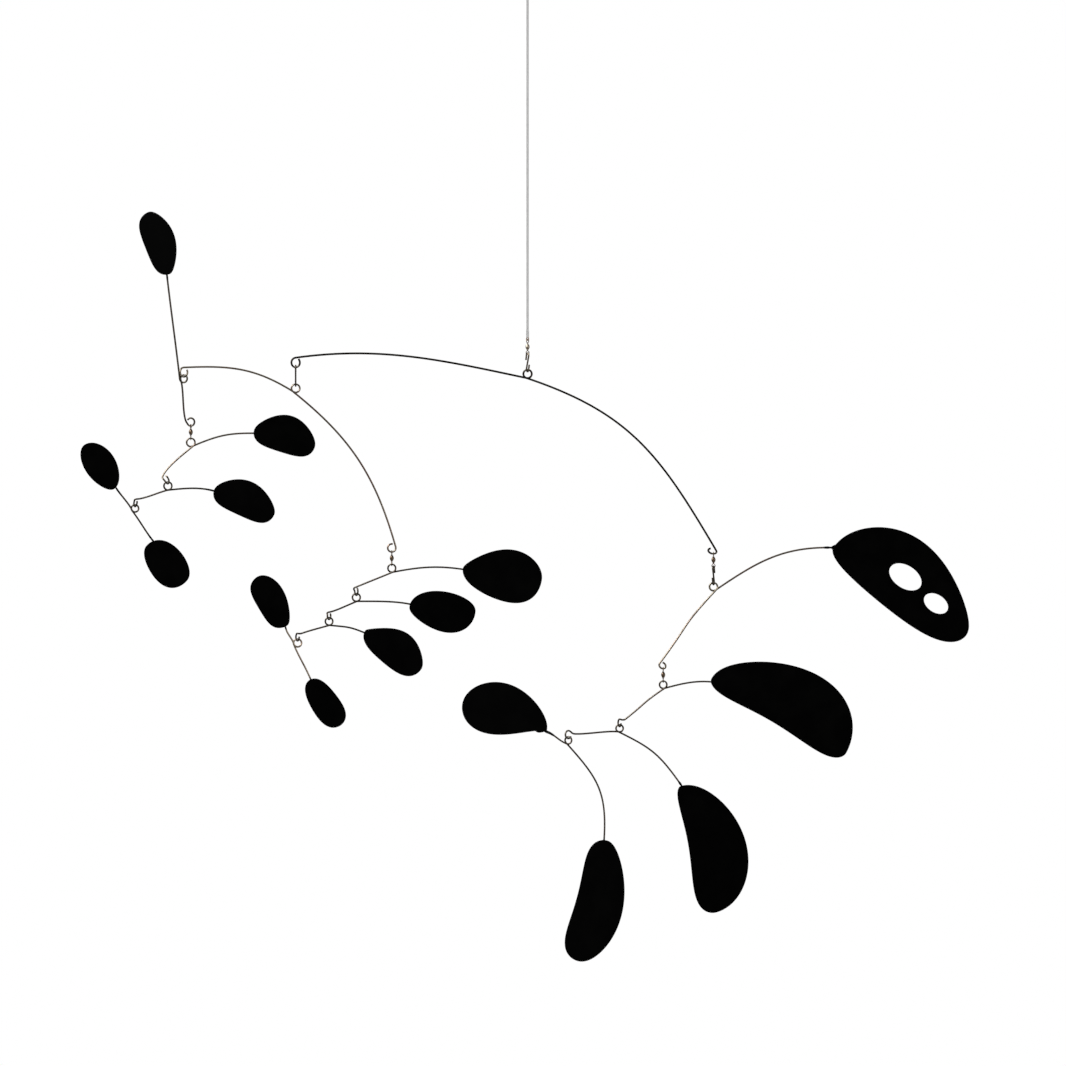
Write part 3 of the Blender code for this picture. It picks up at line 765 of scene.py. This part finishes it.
def leaf_solid(arm, side, wires, leaves):
    """A leaf's sheet and its fastening, with how far each vertex is from the sheet's edge."""
    run = arm.left if side < 0 else arm.right
    leaf, wire = run.end, arm_wire(arm, wires)
    thickness = leaves.sheet * MILLIMETRES
    wire_middle = run_depth(arm, wire, side)
    middle = wire_middle - wire / 2 - CLEARANCE - thickness / 2
    vertices, faces, rims = sheet_solid(leaf, thickness, leaves.edge_rounding * MILLIMETRES)
    for vertex in vertices:
        spot = Vector((vertex[0], vertex[2], leaf.length)) / WAVE_LENGTH
        vertex[1] += middle + leaves.wave * MILLIMETRES * noise.noise(spot)
    mound, mound_faces = fastening(leaf, run.arriving, wire, middle + thickness / 2, wire_middle)
    faces += [tuple(corner + len(vertices) for corner in face) for face in mound_faces]
    vertices = np.concatenate([vertices, mound])
    rims = np.concatenate([rims, np.full(len(mound), FAR_FROM_EDGE)])
    return placed((vertices, faces, vertices), ring_place(arm.name), arm.facing), {"rim": rims * MM}


# Materials


def add(tree, kind, inputs=None, **settings):
    """A shader node with its inputs set or linked."""
    node = tree.nodes.new("ShaderNode" + kind)
    for name, value in settings.items():
        setattr(node, name, value)
    for name, value in (inputs or {}).items():
        if isinstance(value, bpy.types.NodeSocket):
            tree.links.new(value, node.inputs[name])
        else:
            node.inputs[name].default_value = value
    return node


def combine(tree, operation, first, second=0.0, third=0.0):
    """Two or three values put together by an operation of arithmetic."""
    inputs = {0: first, 1: second, 2: third}
    return add(tree, "Math", inputs, operation=operation).outputs[0]


def between(tree, value, low, high, new_low=0.0, new_high=1.0):
    """The value eased from new_low to new_high as it goes from low to high."""
    inputs = {"Value": value, "From Min": low, "From Max": high, "To Min": new_low, "To Max": new_high}
    return add(tree, "MapRange", inputs, interpolation_type="SMOOTHSTEP").outputs[0]


def tint(tree, share, first, second):
    """The first colour, with a share of the second in it."""
    inputs = {0: share, 6: first, 7: second}
    return add(tree, "Mix", inputs, data_type="RGBA").outputs[2]


def stretched(tree, source, scale):
    """Places scaled along each axis, so that what is painted by them is stretched."""
    return add(tree, "Mapping", {"Vector": source, "Scale": scale}).outputs[0]


def cloud(tree, vector, scale, detail=3.0, roughness=0.55):
    """Soft noise, with this many patches to a metre."""
    inputs = {"Vector": vector, "Scale": scale, "Detail": detail, "Roughness": roughness}
    return add(tree, "TexNoise", inputs).outputs[0]


def mark(tree, name, output="Fac"):
    """A value that each vertex of the piece carries."""
    return add(tree, "Attribute", attribute_name=name).outputs[output]


def new_finish(name, roughness, metallic=0.0, **uniform):
    """A material with a Principled shader, and that shader's values that are the same all over."""
    finish = bpy.data.materials.new(name)
    finish.use_nodes = True
    shader = finish.node_tree.nodes["Principled BSDF"]
    shader.inputs["Roughness"].default_value = roughness
    shader.inputs["Metallic"].default_value = metallic
    for key, value in uniform.items():
        shader.inputs[key.replace("_", " ")].default_value = value
    return finish, finish.node_tree, shader


def dress(tree, shader, colour, roughness, heights):
    """Give a shader its colour, its roughness and its bumps.

    The bumps are pairs of a height and how far it stands up, in metres.
    """
    tree.links.new(colour, shader.inputs["Base Color"])
    tree.links.new(roughness, shader.inputs["Roughness"])
    normal = None
    for height, distance in heights:
        inputs = {"Height": height, "Distance": distance, "Strength": 1.0}
        if normal is not None:
            inputs["Normal"] = normal
        normal = add(tree, "Bump", inputs).outputs[0]
    tree.links.new(normal, shader.inputs["Normal"])


def opaque(colour):
    """A colour with nothing see-through about it."""
    return (*colour, 1.0)


def steel_finish(name, wires, painted, tone_and_painted_gleam=1.0):
    """Bare drawn steel wire with a brown and olive bloom, bright where it rubs, and black where painted. Its
    lightness scales the steel's colours: partly the wire's own tone, and partly painted gleam and painted
    shade.
    """
    finish, tree, shader = new_finish(name, 0.35, 1.0)
    steel, brown, dark = (
        opaque([tone_and_painted_gleam * value for value in colour]) for colour in (wires.steel, wires.brown, wires.dark)
    )
    straight = mark(tree, "straight", "Vector")
    bloom = cloud(tree, straight, 38.0, 4.0, 0.6)
    warmth = cloud(tree, stretched(tree, straight, (1.0, 1.0, 0.35)), 30.0, 2.0)
    drawn = cloud(tree, stretched(tree, straight, (4200.0, 4200.0, 70.0)), 1.0, 3.0)
    pits = cloud(tree, straight, 2600.0, 2.0)
    colour = tint(tree, between(tree, warmth, 0.40, 0.62), steel, brown)
    colour = tint(tree, between(tree, bloom, 0.48, 0.68), colour, dark)
    colour = tint(tree, between(tree, drawn, 0.45, 0.9, 0.0, 0.35), colour, opaque(wires.bright))
    rough = between(tree, drawn, 0.3, 0.7, wires.roughness, wires.roughness + 0.06)
    rough = combine(tree, "ADD", rough, between(tree, bloom, 0.45, 0.7, 0.0, 0.06))
    if painted:
        worn = combine(tree, "MULTIPLY", mark(tree, "rubbed"), between(tree, pits, 0.3, 0.6, 0.4, 1.0))
        colour = tint(tree, combine(tree, "MULTIPLY", worn, 0.6), colour, opaque(wires.bright))
        edge = combine(tree, "MULTIPLY_ADD", cloud(tree, straight, 700.0, 3.0), 0.004, -0.002)
        paint = between(tree, combine(tree, "ADD", mark(tree, "bare"), edge), -0.0003, 0.0003, 1.0, 0.0)
        colour = tint(tree, paint, colour, opaque(wires.paint))
        rough = combine(tree, "MULTIPLY_ADD", combine(tree, "SUBTRACT", 0.55, rough), paint, rough)
        tree.links.new(combine(tree, "SUBTRACT", 1.0, paint), shader.inputs["Metallic"])
        shader.inputs["Specular IOR Level"].default_value = 0.1
    dress(tree, shader, colour, rough, ((drawn, 0.000003), (pits, 0.000002)))
    return finish


def black_finish(leaves):
    """Flat black paint on sheet: a fine spray grain, faint brushed-out patches and a thinner edge."""
    finish, tree, shader = new_finish("flat_black_paint", 0.6, Specular_IOR_Level=leaves.gloss)
    place = add(tree, "TexCoord").outputs["Object"]
    grain = cloud(tree, place, 1500.0, 2.0)
    patches = cloud(tree, place, 34.0, 4.0, 0.6)
    specks = cloud(tree, place, 420.0, 1.0)
    colour = tint(tree, between(tree, patches, 0.35, 0.7), opaque(leaves.black), opaque(leaves.worn_black))
    near_edge = between(tree, mark(tree, "rim"), 0.0, 0.0005, 1.0, 0.0)
    thin = combine(tree, "MULTIPLY", near_edge, between(tree, specks, 0.5, 0.75))
    colour = tint(tree, thin, colour, opaque(leaves.edge_wear))
    brushed = between(tree, patches, 0.3, 0.7, 0.5, 0.62)
    rough = combine(tree, "ADD", brushed, between(tree, grain, 0.3, 0.7, 0.0, 0.1))
    dress(tree, shader, colour, rough, ((grain, 0.00003), (specks, 0.00002)))
    return finish


def plated_finish(name, light, dark, roughness):
    """Plated brass, darker in patches, with turning marks round it."""
    finish, tree, shader = new_finish(name, roughness, 1.0)
    straight = mark(tree, "straight", "Vector")
    patches = cloud(tree, straight, 420.0, 4.0, 0.65)
    turning = cloud(tree, stretched(tree, straight, (60.0, 60.0, 9000.0)), 1.0, 2.0)
    colour = tint(tree, between(tree, patches, 0.38, 0.62), opaque(light), opaque(dark))
    dulled = between(tree, patches, 0.3, 0.7, roughness, roughness + 0.2)
    rough = combine(tree, "ADD", dulled, between(tree, turning, 0.3, 0.7, 0.0, 0.08))
    dress(tree, shader, colour, rough, ((turning, 0.00001), (patches, 0.00001)))
    return finish


def cord_finish(cords):
    """A light grey braid: two sets of fine strands wound in opposite directions, with a soft fuzz and painted
    shade between the strands.
    """
    finish, tree, shader = new_finish("light_grey_braid", 0.85, Sheen_Weight=0.25, Sheen_Roughness=0.5)
    strands = 8.0
    x, y, lengthwise = add(tree, "SeparateXYZ", {0: mark(tree, "straight", "Vector")}).outputs
    round_it = combine(tree, "MULTIPLY", combine(tree, "ARCTAN2", y, x), strands)
    along = combine(tree, "MULTIPLY", lengthwise, strands * math.tau / cords.pitch / 2)
    one = combine(tree, "SINE", combine(tree, "ADD", round_it, along))
    other = combine(tree, "SINE", combine(tree, "SUBTRACT", round_it, along))
    braid = combine(tree, "MAXIMUM", one, other)
    fuzz = cloud(tree, mark(tree, "straight", "Vector"), 5200.0, 3.0, 0.7)
    # Painted shade: the braid is darker in the grooves between its strands.
    shade = between(tree, combine(tree, "MULTIPLY_ADD", fuzz, 0.6, braid), -0.4, 1.3)
    colour = tint(tree, shade, opaque(cords.shadow), opaque(cords.colour))
    rough = between(tree, fuzz, 0.3, 0.7, 0.75, 0.95)
    dress(tree, shader, colour, rough, ((braid, 0.00005), (fuzz, 0.00002)))
    return finish


def fitting_finish(fittings):
    """Satin grey lacquer with a fine even grain."""
    finish, tree, shader = new_finish("satin_grey_lacquer", 0.4, Specular_IOR_Level=0.4)
    place = add(tree, "TexCoord").outputs["Object"]
    grain = cloud(tree, place, 1800.0, 2.0)
    patches = cloud(tree, place, 90.0, 3.0)
    light, dark = fittings.colour, [0.86 * value for value in fittings.colour]
    colour = tint(tree, between(tree, patches, 0.35, 0.65), opaque(light), opaque(dark))
    rough = between(tree, grain, 0.3, 0.7, 0.34, 0.48)
    dress(tree, shader, colour, rough, ((grain, 0.00002),))
    return finish


# Sizes and colours


def length_property(name, description, default):
    return FloatProperty(
        name=name, description=description, default=default, min=0.0, subtype="DISTANCE", unit="LENGTH",
        precision=5,
    )


def colour_property(name, description, default):
    return FloatVectorProperty(
        name=name, description=description, default=default, size=3, min=0.0, max=1.0, subtype="COLOR"
    )


def share_property(name, description, default):
    return FloatProperty(
        name=name, description=description, default=default, min=0.0, max=1.0, subtype="FACTOR"
    )


def power_property(name, description, default):
    return FloatProperty(name=name, description=description, default=default, unit="POWER")


class MobileWires(PropertyGroup):
    main_wire: length_property("Main wire", "Thickness of the top arm's wire", 0.0024)
    arm_wire: length_property("Arm wire", "Thickness of the wire of the left, mast and right arms", 0.0022)
    fan_wire: length_property("Fan wire", "Thickness of the wire of the small arms", 0.0021)
    s_hook_wire: length_property("S-hook wire", "Thickness of the S-hooks' wire", 0.0020)
    wear: length_property("Wear", "How much of the wire is worn off where the rings rub", 0.0001)
    painted_end: length_property("Painted end", "How far most leaves' paint runs along the wire", 0.001)
    roughness: share_property("Roughness", "Roughness of bare wire", 0.22)
    steel: colour_property("Steel", "Clean steel", (0.094, 0.082, 0.062))
    brown: colour_property("Brown", "Steel with a brown bloom", (0.090, 0.058, 0.046))
    dark: colour_property("Dark", "Steel in its darkest patches", (0.044, 0.035, 0.027))
    bright: colour_property("Bright", "Steel where it is rubbed", (0.24, 0.22, 0.18))
    paint: colour_property("Paint", "Paint on the wire's end beside a leaf", (0.002, 0.002, 0.002))


class MobileLeaves(PropertyGroup):
    sheet: length_property("Sheet", "Thickness of the leaves", 0.001)
    edge_rounding: length_property("Edge rounding", "Rounding of the leaves' cut edges", 0.00025)
    wave: length_property("Wave", "How far the sheet is from dead flat", 0.0002)
    gloss: share_property("Gloss", "How much the paint reflects", 0.012)
    black: colour_property("Black", "The paint", (0.0005, 0.0005, 0.0005))
    worn_black: colour_property("Worn black", "The paint where it is brushed thin", (0.0016, 0.0016, 0.0015))
    edge_wear: colour_property("Edge wear", "Specks of thin paint on the cut edges", (0.02, 0.019, 0.017))


class MobileSwivels(PropertyGroup):
    eye_wire: length_property("Eye wire", "Thickness of the eyes' wire", 0.001)
    eye_radius: length_property("Eye radius", "Middle radius of an eye", 0.0021)
    span: length_property("Span", "From eye to eye", 0.0184)
    barrel: length_property("Barrel", "Width of the barrel", 0.0049)
    barrel_length: length_property("Barrel length", "Length of the barrel", 0.0074)
    bronze: colour_property("Bronze", "Light bronze plating", (0.24, 0.17, 0.11))
    dark_bronze: colour_property("Dark bronze", "Dark bronze plating", (0.045, 0.032, 0.025))
    nickel: colour_property("Nickel", "The top barrel's light plating", (0.62, 0.58, 0.50))
    copper: colour_property("Copper", "The reddish eye below the right hook", (0.34, 0.19, 0.16))


class MobileCord(PropertyGroup):
    diameter: length_property("Diameter", "Thickness of the cord", 0.0028)
    pitch: length_property("Braid pitch", "Length of one turn of a strand", 0.0065)
    colour: colour_property("Colour", "The cord's strands", (0.92, 0.92, 0.92))
    shadow: colour_property("Shadow", "Between the strands", (0.88, 0.88, 0.88))
    loop: colour_property("Loop", "Bronze of the loop at the cord's end", (0.42, 0.27, 0.16))
    loop_dark: colour_property("Dark loop", "The loop's bronze where it is dark", (0.18, 0.11, 0.07))


class MobileFitting(PropertyGroup):
    plate: length_property("Plate", "Width of the ceiling plate", 0.044)
    plate_depth: length_property("Plate depth", "Thickness of the ceiling plate", 0.004)
    boss: length_property("Boss", "Width of the boss that holds the cord", 0.009)
    boss_length: length_property("Boss length", "Length of the boss", 0.010)
    colour: colour_property("Colour", "Lacquer of the fitting", (0.55, 0.55, 0.55))


class MobileStage(PropertyGroup):
    key: power_property("Key", "Power of the soft light at the left", 27.0)
    gleam: power_property("Gleam", "Power of the lamp at the left that only gleams on the wire", 150.0)
    fill: power_property("Fill", "Power of the soft light at the right", 26.0)
    top: power_property("Top", "Power of the soft light overhead", 14.0)
    surroundings: share_property("Surroundings", "Brightness of the room around the mobile", 0.27)


SETTINGS = {
    "mobile_wires": MobileWires,
    "mobile_leaves": MobileLeaves,
    "mobile_swivels": MobileSwivels,
    "mobile_cord": MobileCord,
    "mobile_fitting": MobileFitting,
    "mobile_stage": MobileStage,
}


# The stage


def soft_light(name, at, aim, width, power, only_gleams=False):
    """A square lamp. One for gleams alone shows only in what mirrors it."""
    light = bpy.data.lights.new(name, "AREA")
    light.shape = "SQUARE"
    light.size = width
    light.energy = power
    lamp = bpy.data.objects.new(name, light)
    lamp.location = at
    lamp.rotation_euler = (Vector(aim) - Vector(at)).to_track_quat("-Z", "Y").to_euler()
    lamp.visible_camera = False
    lamp.visible_diffuse = not only_gleams
    bpy.context.scene.collection.objects.link(lamp)


def make_surroundings(stage):
    """White where the camera looks past the mobile, and a dimmer room in what the wire reflects."""
    world = bpy.data.worlds.new("white_studio")
    world.use_nodes = True
    tree = world.node_tree
    tree.nodes.clear()
    seen = add(tree, "Background", {"Color": (1.0, 1.0, 1.0, 1.0), "Strength": 1.0})
    room = add(tree, "Background", {"Color": (1.0, 0.99, 0.97, 1.0), "Strength": stage.surroundings})
    looked_at = add(tree, "LightPath").outputs["Is Camera Ray"]
    mixed = add(tree, "MixShader", {0: looked_at, 1: room.outputs[0], 2: seen.outputs[0]})
    output = add(tree, "OutputWorld")
    tree.links.new(mixed.outputs[0], output.inputs["Surface"])
    bpy.context.scene.world = world


def make_camera():
    """A long lens square to the mobile, as in the photograph."""
    lens = bpy.data.cameras.new("photograph_view")
    lens.sensor_width = SENSOR
    lens.lens = SENSOR * CAMERA_DISTANCE / PHOTO_WIDTH
    camera = bpy.data.objects.new("photograph_view", lens)
    camera.location = (PHOTO_MIDDLE[0], -CAMERA_DISTANCE, PHOTO_MIDDLE[1])
    camera.rotation_euler = (math.radians(90), 0.0, 0.0)
    bpy.context.scene.collection.objects.link(camera)
    bpy.context.scene.camera = camera


class MOBILE_OT_stage(Operator):
    """Add the camera, the soft lights and the white surroundings"""

    bl_idname = "mobile.stage"
    bl_label = "Stage"

    def execute(self, context):
        stage = context.scene.mobile_stage
        context.scene.view_settings.view_transform = "Standard"
        make_camera()
        make_surroundings(stage)
        middle = (0.0, 0.0, PHOTO_MIDDLE[1])
        soft_light("key_at_left", (-2.4, -2.6, 0.5), middle, 1.4, stage.key)
        soft_light("gleam_at_left", (-2.5, -1.2, 1.5), middle, 1.8, stage.gleam, only_gleams=True)
        soft_light("fill_at_right", (2.8, -2.2, -0.4), middle, 1.8, stage.fill)
        soft_light("top_light", (0.0, 0.6, 1.8), middle, 2.4, stage.top)
        return {"FINISHED"}


# The cord and what holds it


class MOBILE_OT_cord(Operator):
    """Add the braided cord, and the whipped sleeve and loop at its lower end"""

    bl_idname = "mobile.cord"
    bl_label = "Cord"

    def execute(self, context):
        cords = context.scene.mobile_cord
        finish = cord_finish(cords)
        low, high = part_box("cord")
        route = [(0.0, 0.0, z) for z in np.linspace(high.z, low.z, 20)]
        path = even_path(np.array(route) * MILLIMETRES)[::8]
        path[-1] = np.array(route[-1]) * MILLIMETRES
        solid = wire_solid(path, cords.diameter * MILLIMETRES / 2, sides=24)
        cord = make_piece("cord_braid", [solid], finish, "cord")
        sleeve_pieces = self.make_sleeve(cords, finish)
        return {"FINISHED"}

    def make_sleeve(self, cords, finish):
        """Whipping of the same thread over the cord's end, and the loop below it."""
        node = "cord_sleeve"
        bottom, top = (corner.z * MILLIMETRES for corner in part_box(node))
        loop_wire, loop_radius, loop_facing = 1.2, 1.7, -40.0
        thread, wound_radius, thread_bulge = 0.62, 1.66, 0.14
        middle = bottom + loop_wire / 2 + loop_radius
        foot = middle + loop_radius
        cord_radius = cords.diameter * MILLIMETRES / 2
        profile = [(0.05, foot - 0.5), (0.8, foot - 0.45), (1.3, foot), (1.55, foot + 0.4)]
        for z in np.arange(foot + 0.5, top - 0.3, 0.1):
            profile.append((wound_radius + thread_bulge * abs(math.sin(math.pi * (z - foot) / thread)), z))
        profile += [(1.6, top - 0.1), (1.45, top), (cord_radius + 0.02, top), (0.2, top - 0.4)]
        whipping = make_piece("cord_sleeve_whipping", [turned_solid(profile, 32)], finish, node)
        circle = [(x, 0.0, middle + z) for x, z in arc(loop_radius, 75.0, 465.0, 60)]
        path = thin_path(ease_path(circle, 0.1), 0.5, 8.0)
        loop = placed(wire_solid(path, loop_wire / 2), (0.0, 0.0, 0.0), loop_facing)
        bronze = plated_finish("cord_loop_bronze", cords.loop, cords.loop_dark, 0.3)
        return whipping, make_piece("cord_sleeve_bronze_loop", [loop], bronze, node)


class MOBILE_OT_ceiling_fitting(Operator):
    """Add the ceiling plate, its boss and its two screws"""

    bl_idname = "mobile.ceiling_fitting"
    bl_label = "Ceiling fitting"

    def execute(self, context):
        fittings = context.scene.mobile_fitting
        finish = fitting_finish(fittings)
        radius, depth = fittings.plate * MILLIMETRES / 2, fittings.plate_depth * MILLIMETRES
        boss, foot = fittings.boss * MILLIMETRES / 2, -depth - fittings.boss_length * MILLIMETRES
        socket = context.scene.mobile_cord.diameter * MILLIMETRES / 2 + 0.15
        socket_depth, screw_place = 6.0, 14.0
        profile = [(0.05, 0.0), (radius - 0.4, 0.0), (radius, -0.4), (radius, -0.5 * depth)]
        for out, down in arc(1.0, 0.0, 90.0, 8):
            profile.append((0.9 * radius + 0.1 * radius * out, -0.5 * depth - 0.45 * depth * down))
        profile += [(boss + 2.2, -depth + 0.05), (boss + 0.9, -depth - 0.15), (boss + 0.25, -depth - 0.7)]
        profile += [(boss, -depth - 1.4), (boss, foot + 2.4), (boss - 0.25, foot + 2.2)]
        profile += [(boss - 0.25, foot + 1.9), (boss, foot + 1.7), (boss, foot + 0.8)]
        profile += [(boss - 0.3, foot + 0.25), (boss - 0.9, foot), (socket + 0.5, foot), (socket, foot + 0.4)]
        profile += [(socket, foot + socket_depth), (0.05, foot + socket_depth)]
        solids = [turned_solid(profile, 96)]
        for x in (-screw_place, screw_place):
            solids.append(self.screw_solid(x, -0.96 * depth))
        make_piece("ceiling_fitting_turned", solids, finish, "ceiling_fitting")
        return {"FINISHED"}

    def screw_solid(self, x, underside):
        """A low domed screw head under the plate, with a recess."""
        profile = [(0.05, 0.6), (2.9, 0.6), (2.9, -0.15), (2.6, -0.45), (1.9, -0.7), (1.2, -0.8)]
        profile += [(1.05, -0.75), (1.0, 0.1), (0.05, 0.1)]
        return placed(turned_solid(profile, 24), (x, 0.0, underside))


# The metal pieces

WIRE_TONE_AND_PAINTED_GLEAM = {
    "main_arm": 0.15, "left_arm": 2.6, "mast_arm": 0.7, "upper_fan_arm_1": 1.9, "upper_fan_arm_2": 0.6,
    "middle_fan_arm_1": 0.7, "middle_fan_arm_3": 0.7, "middle_fan_arm_4": 4.0, "right_arm": 2.2,
}
# The top S-hook's lighter steel is a painted gleam on its lit flank.
TOP_S_HOOK_PAINTED_GLEAM = 2.5
# How light the wire of some arms and of the top S-hook is, where that of the rest is 1. Each value holds the
# wire's own tone and painted light together: the raised values paint in a gleam of the lamps, and the lowered
# fan wires paint shade over light that the lamps spill on them.
"""How light the wire of some arms and of the top S-hook is, where that of the rest is 1."""


class MOBILE_OT_wire_arms(Operator):
    """Add the fourteen bent wire arms"""

    bl_idname = "mobile.wire_arms"
    bl_label = "Wire arms"

    def execute(self, context):
        wires = context.scene.mobile_wires
        usual = steel_finish("drawn_steel_wire", wires, True)
        # Lighter and darker copies of the steel for some arms: their own tone, with painted gleam and painted
        # shade.
        finishes = {
            name: steel_finish(f"drawn_steel_{name}", wires, True, tone_and_painted_gleam)
            for name, tone_and_painted_gleam in WIRE_TONE_AND_PAINTED_GLEAM.items()
        }
        for arm in ARMS:
            finish = finishes.get(arm.name, usual)
            solid, marks = arm_solid(arm, wires)
            make_piece(f"{arm.name}_bent_wire", [solid], finish, arm.name, marks)
        return {"FINISHED"}


class MOBILE_OT_leaves(Operator):
    """Add the fifteen painted leaves"""

    bl_idname = "mobile.leaves"
    bl_label = "Leaves"

    def execute(self, context):
        wires, leaves = context.scene.mobile_wires, context.scene.mobile_leaves
        finish = black_finish(leaves)
        for arm in ARMS:
            for side, run in both_runs(arm):
                if isinstance(run.end, Leaf):
                    solid, marks = leaf_solid(arm, side, wires, leaves)
                    node = run.end.name
                    piece_name = f"{node}_painted_sheet"
                    make_piece(piece_name, [solid], finish, node, marks, LEAF_SHARP_ANGLE)
        return {"FINISHED"}


class MOBILE_OT_s_hooks(Operator):
    """Add the three S-hooks"""

    bl_idname = "mobile.s_hooks"
    bl_label = "S-hooks"

    def execute(self, context):
        wires = context.scene.mobile_wires
        finish = steel_finish("s_hook_steel", wires, False)
        # The top S-hook's steel is made lighter: a painted gleam on its lit flank.
        painted_gleam_steel = steel_finish("pale_s_hook_steel", wires, False, TOP_S_HOOK_PAINTED_GLEAM)
        wire, bend_radius, leg = wires.s_hook_wire * MILLIMETRES, 2.8, 5.5
        for arm_name, facing in S_HOOK_FACINGS.items():
            node = f"{arm_name}_s_hook"
            look = painted_gleam_steel if arm_name == "main_arm" else finish
            low, high = np.array(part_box(node)) * MILLIMETRES
            height = (high[2] - low[2] - wire) / 2 - bend_radius
            half = [(bend_radius + 1.2, 0.0, height - leg)]
            half += [(x, 0.0, height + z) for x, z in arc(bend_radius, -10.0, 190.0, 61)]
            path = half + [(-x, 0.0, -z) for x, _, z in reversed(half)]
            path = thin_path(ease_path(path, 0.5), 1.0, 7.0)
            solid = placed(wire_solid(path, wire / 2), node_middle(node), facing)
            make_piece(f"{node}_bent_wire", [solid], look, node)
        return {"FINISHED"}


class MOBILE_OT_swivels(Operator):
    """Add the five barrel swivels: a turned barrel with a bent eye at each end"""

    bl_idname = "mobile.swivels"
    bl_label = "Swivels"

    def execute(self, context):
        swivels = context.scene.mobile_swivels
        bronze = plated_finish("bronze_plating", swivels.bronze, swivels.dark_bronze, 0.28)
        dark = plated_finish("dark_bronze_plating", swivels.dark_bronze, swivels.bronze, 0.24)
        nickel = plated_finish("light_nickel_plating", swivels.nickel, swivels.bronze, 0.22)
        copper = plated_finish("copper_plating", swivels.copper, swivels.dark_bronze, 0.3)
        for arm_name, facings in SWIVEL_FACINGS.items():
            name = f"{arm_name}_swivel"
            middle = node_middle(f"{name}_barrel")
            solid = placed(self.barrel_solid(swivels), middle)
            plating = nickel if arm_name == "main_arm" else dark
            make_piece(f"{name}_turned_barrel", [solid], plating, f"{name}_barrel")
            for end, up, facing in (("upper", 1, facings[0]), ("lower", -1, facings[1])):
                solids = [placed(solid, middle, facing) for solid in self.eye_solids(swivels, up)]
                plating = copper if (arm_name, end) == ("right_arm", "lower") else bronze
                make_piece(f"{name}_{end}_bent_eye", solids, plating, f"{name}_{end}_eye")
        return {"FINISHED"}

    def barrel_solid(self, swivels):
        """A lemon-shaped barrel with a rolled lip and a socket at both ends."""
        radius, half = swivels.barrel * MILLIMETRES / 2, swivels.barrel_length * MILLIMETRES / 2
        socket = swivels.eye_wire * MILLIMETRES / 2 + 0.2
        lip, fullness = 1.3, 0.72
        neck = lip - 0.12
        body = [
            (neck + (radius - neck) * math.cos(math.pi / 2 * share) ** fullness, share * (half - 0.55))
            for share in np.linspace(0.0, 0.97, 16)
        ]
        top_half = [(0.05, half - 1.2), (socket, half - 1.2), (socket, half - 0.15), (socket + 0.12, half)]
        top_half += [(lip - 0.1, half), (lip, half - 0.12), (lip, half - 0.4), (neck, half - 0.5)]
        top_half += body[::-1]
        return turned_solid(top_half + [(wide, -height) for wide, height in top_half[-2::-1]], 40)

    def eye_solids(self, swivels, up):
        """An eye bent from wire, its stem in the barrel, and two turns of the wire round the stem."""
        wire, radius = swivels.eye_wire * MILLIMETRES, swivels.eye_radius * MILLIMETRES
        middle = swivels.span * MILLIMETRES / 2 - radius
        foot = swivels.barrel_length * MILLIMETRES / 2 - 0.9
        path = [(0.0, 0.0, up * foot), (0.0, 0.0, up * (foot + 0.9))]
        path += [(x, 0.0, up * (middle + z)) for x, z in arc(radius, -67.5, 247.0, 80)]
        path = thin_path(ease_path(path, 0.25), 0.5, 8.0)
        eye = wire_solid(path, wire / 2, sides=14, rounding=0.2)
        wound_radius, wound_wire, places = 0.72, 0.52, 60
        wound = []
        for angle, z in zip(np.linspace(0.0, 720.0, places), np.linspace(foot + 1.35, foot + 2.15, places)):
            wound.append((*(wound_radius * towards(angle)), up * z))
        path = thin_path(ease_path(wound, 0.1), 0.5, 12.0)
        return [eye, wire_solid(path, wound_wire / 2, sides=10, rounding=0.1)]


class MOBILE_PT_pieces(Panel):
    """The mobile's pieces, with their sizes and colours"""

    bl_label = "Hanging mobile"
    bl_space_type = "VIEW_3D"
    bl_region_type = "UI"
    bl_category = "Mobile"

    def draw(self, context):
        for setting, operators in PANEL_ROWS.items():
            box = self.layout.box()
            for operator in operators:
                box.operator(operator.bl_idname)
            group = getattr(context.scene, setting)
            for name in SETTINGS[setting].__annotations__:
                box.prop(group, name)


OPERATORS = (
    MOBILE_OT_stage, MOBILE_OT_cord, MOBILE_OT_ceiling_fitting, MOBILE_OT_wire_arms, MOBILE_OT_leaves,
    MOBILE_OT_s_hooks, MOBILE_OT_swivels,
)
PANEL_ROWS = {
    "mobile_stage": (MOBILE_OT_stage,),
    "mobile_cord": (MOBILE_OT_cord,),
    "mobile_fitting": (MOBILE_OT_ceiling_fitting,),
    "mobile_wires": (MOBILE_OT_wire_arms, MOBILE_OT_s_hooks),
    "mobile_leaves": (MOBILE_OT_leaves,),
    "mobile_swivels": (MOBILE_OT_swivels,),
}


def register():
    for kind in (*SETTINGS.values(), *OPERATORS, MOBILE_PT_pieces):
        bpy.utils.register_class(kind)
    for setting, kind in SETTINGS.items():
        setattr(bpy.types.Scene, setting, PointerProperty(type=kind))


def unregister():
    for setting in SETTINGS:
        delattr(bpy.types.Scene, setting)
    for kind in (MOBILE_PT_pieces, *reversed(OPERATORS), *reversed(SETTINGS.values())):
        bpy.utils.unregister_class(kind)


def main():
    register()
    bpy.ops.mobile.stage()
    bpy.ops.mobile.cord()
    bpy.ops.mobile.ceiling_fitting()
    bpy.ops.mobile.wire_arms()
    bpy.ops.mobile.leaves()
    bpy.ops.mobile.s_hooks()
    bpy.ops.mobile.swivels()


if __name__ == "__main__":
    main()
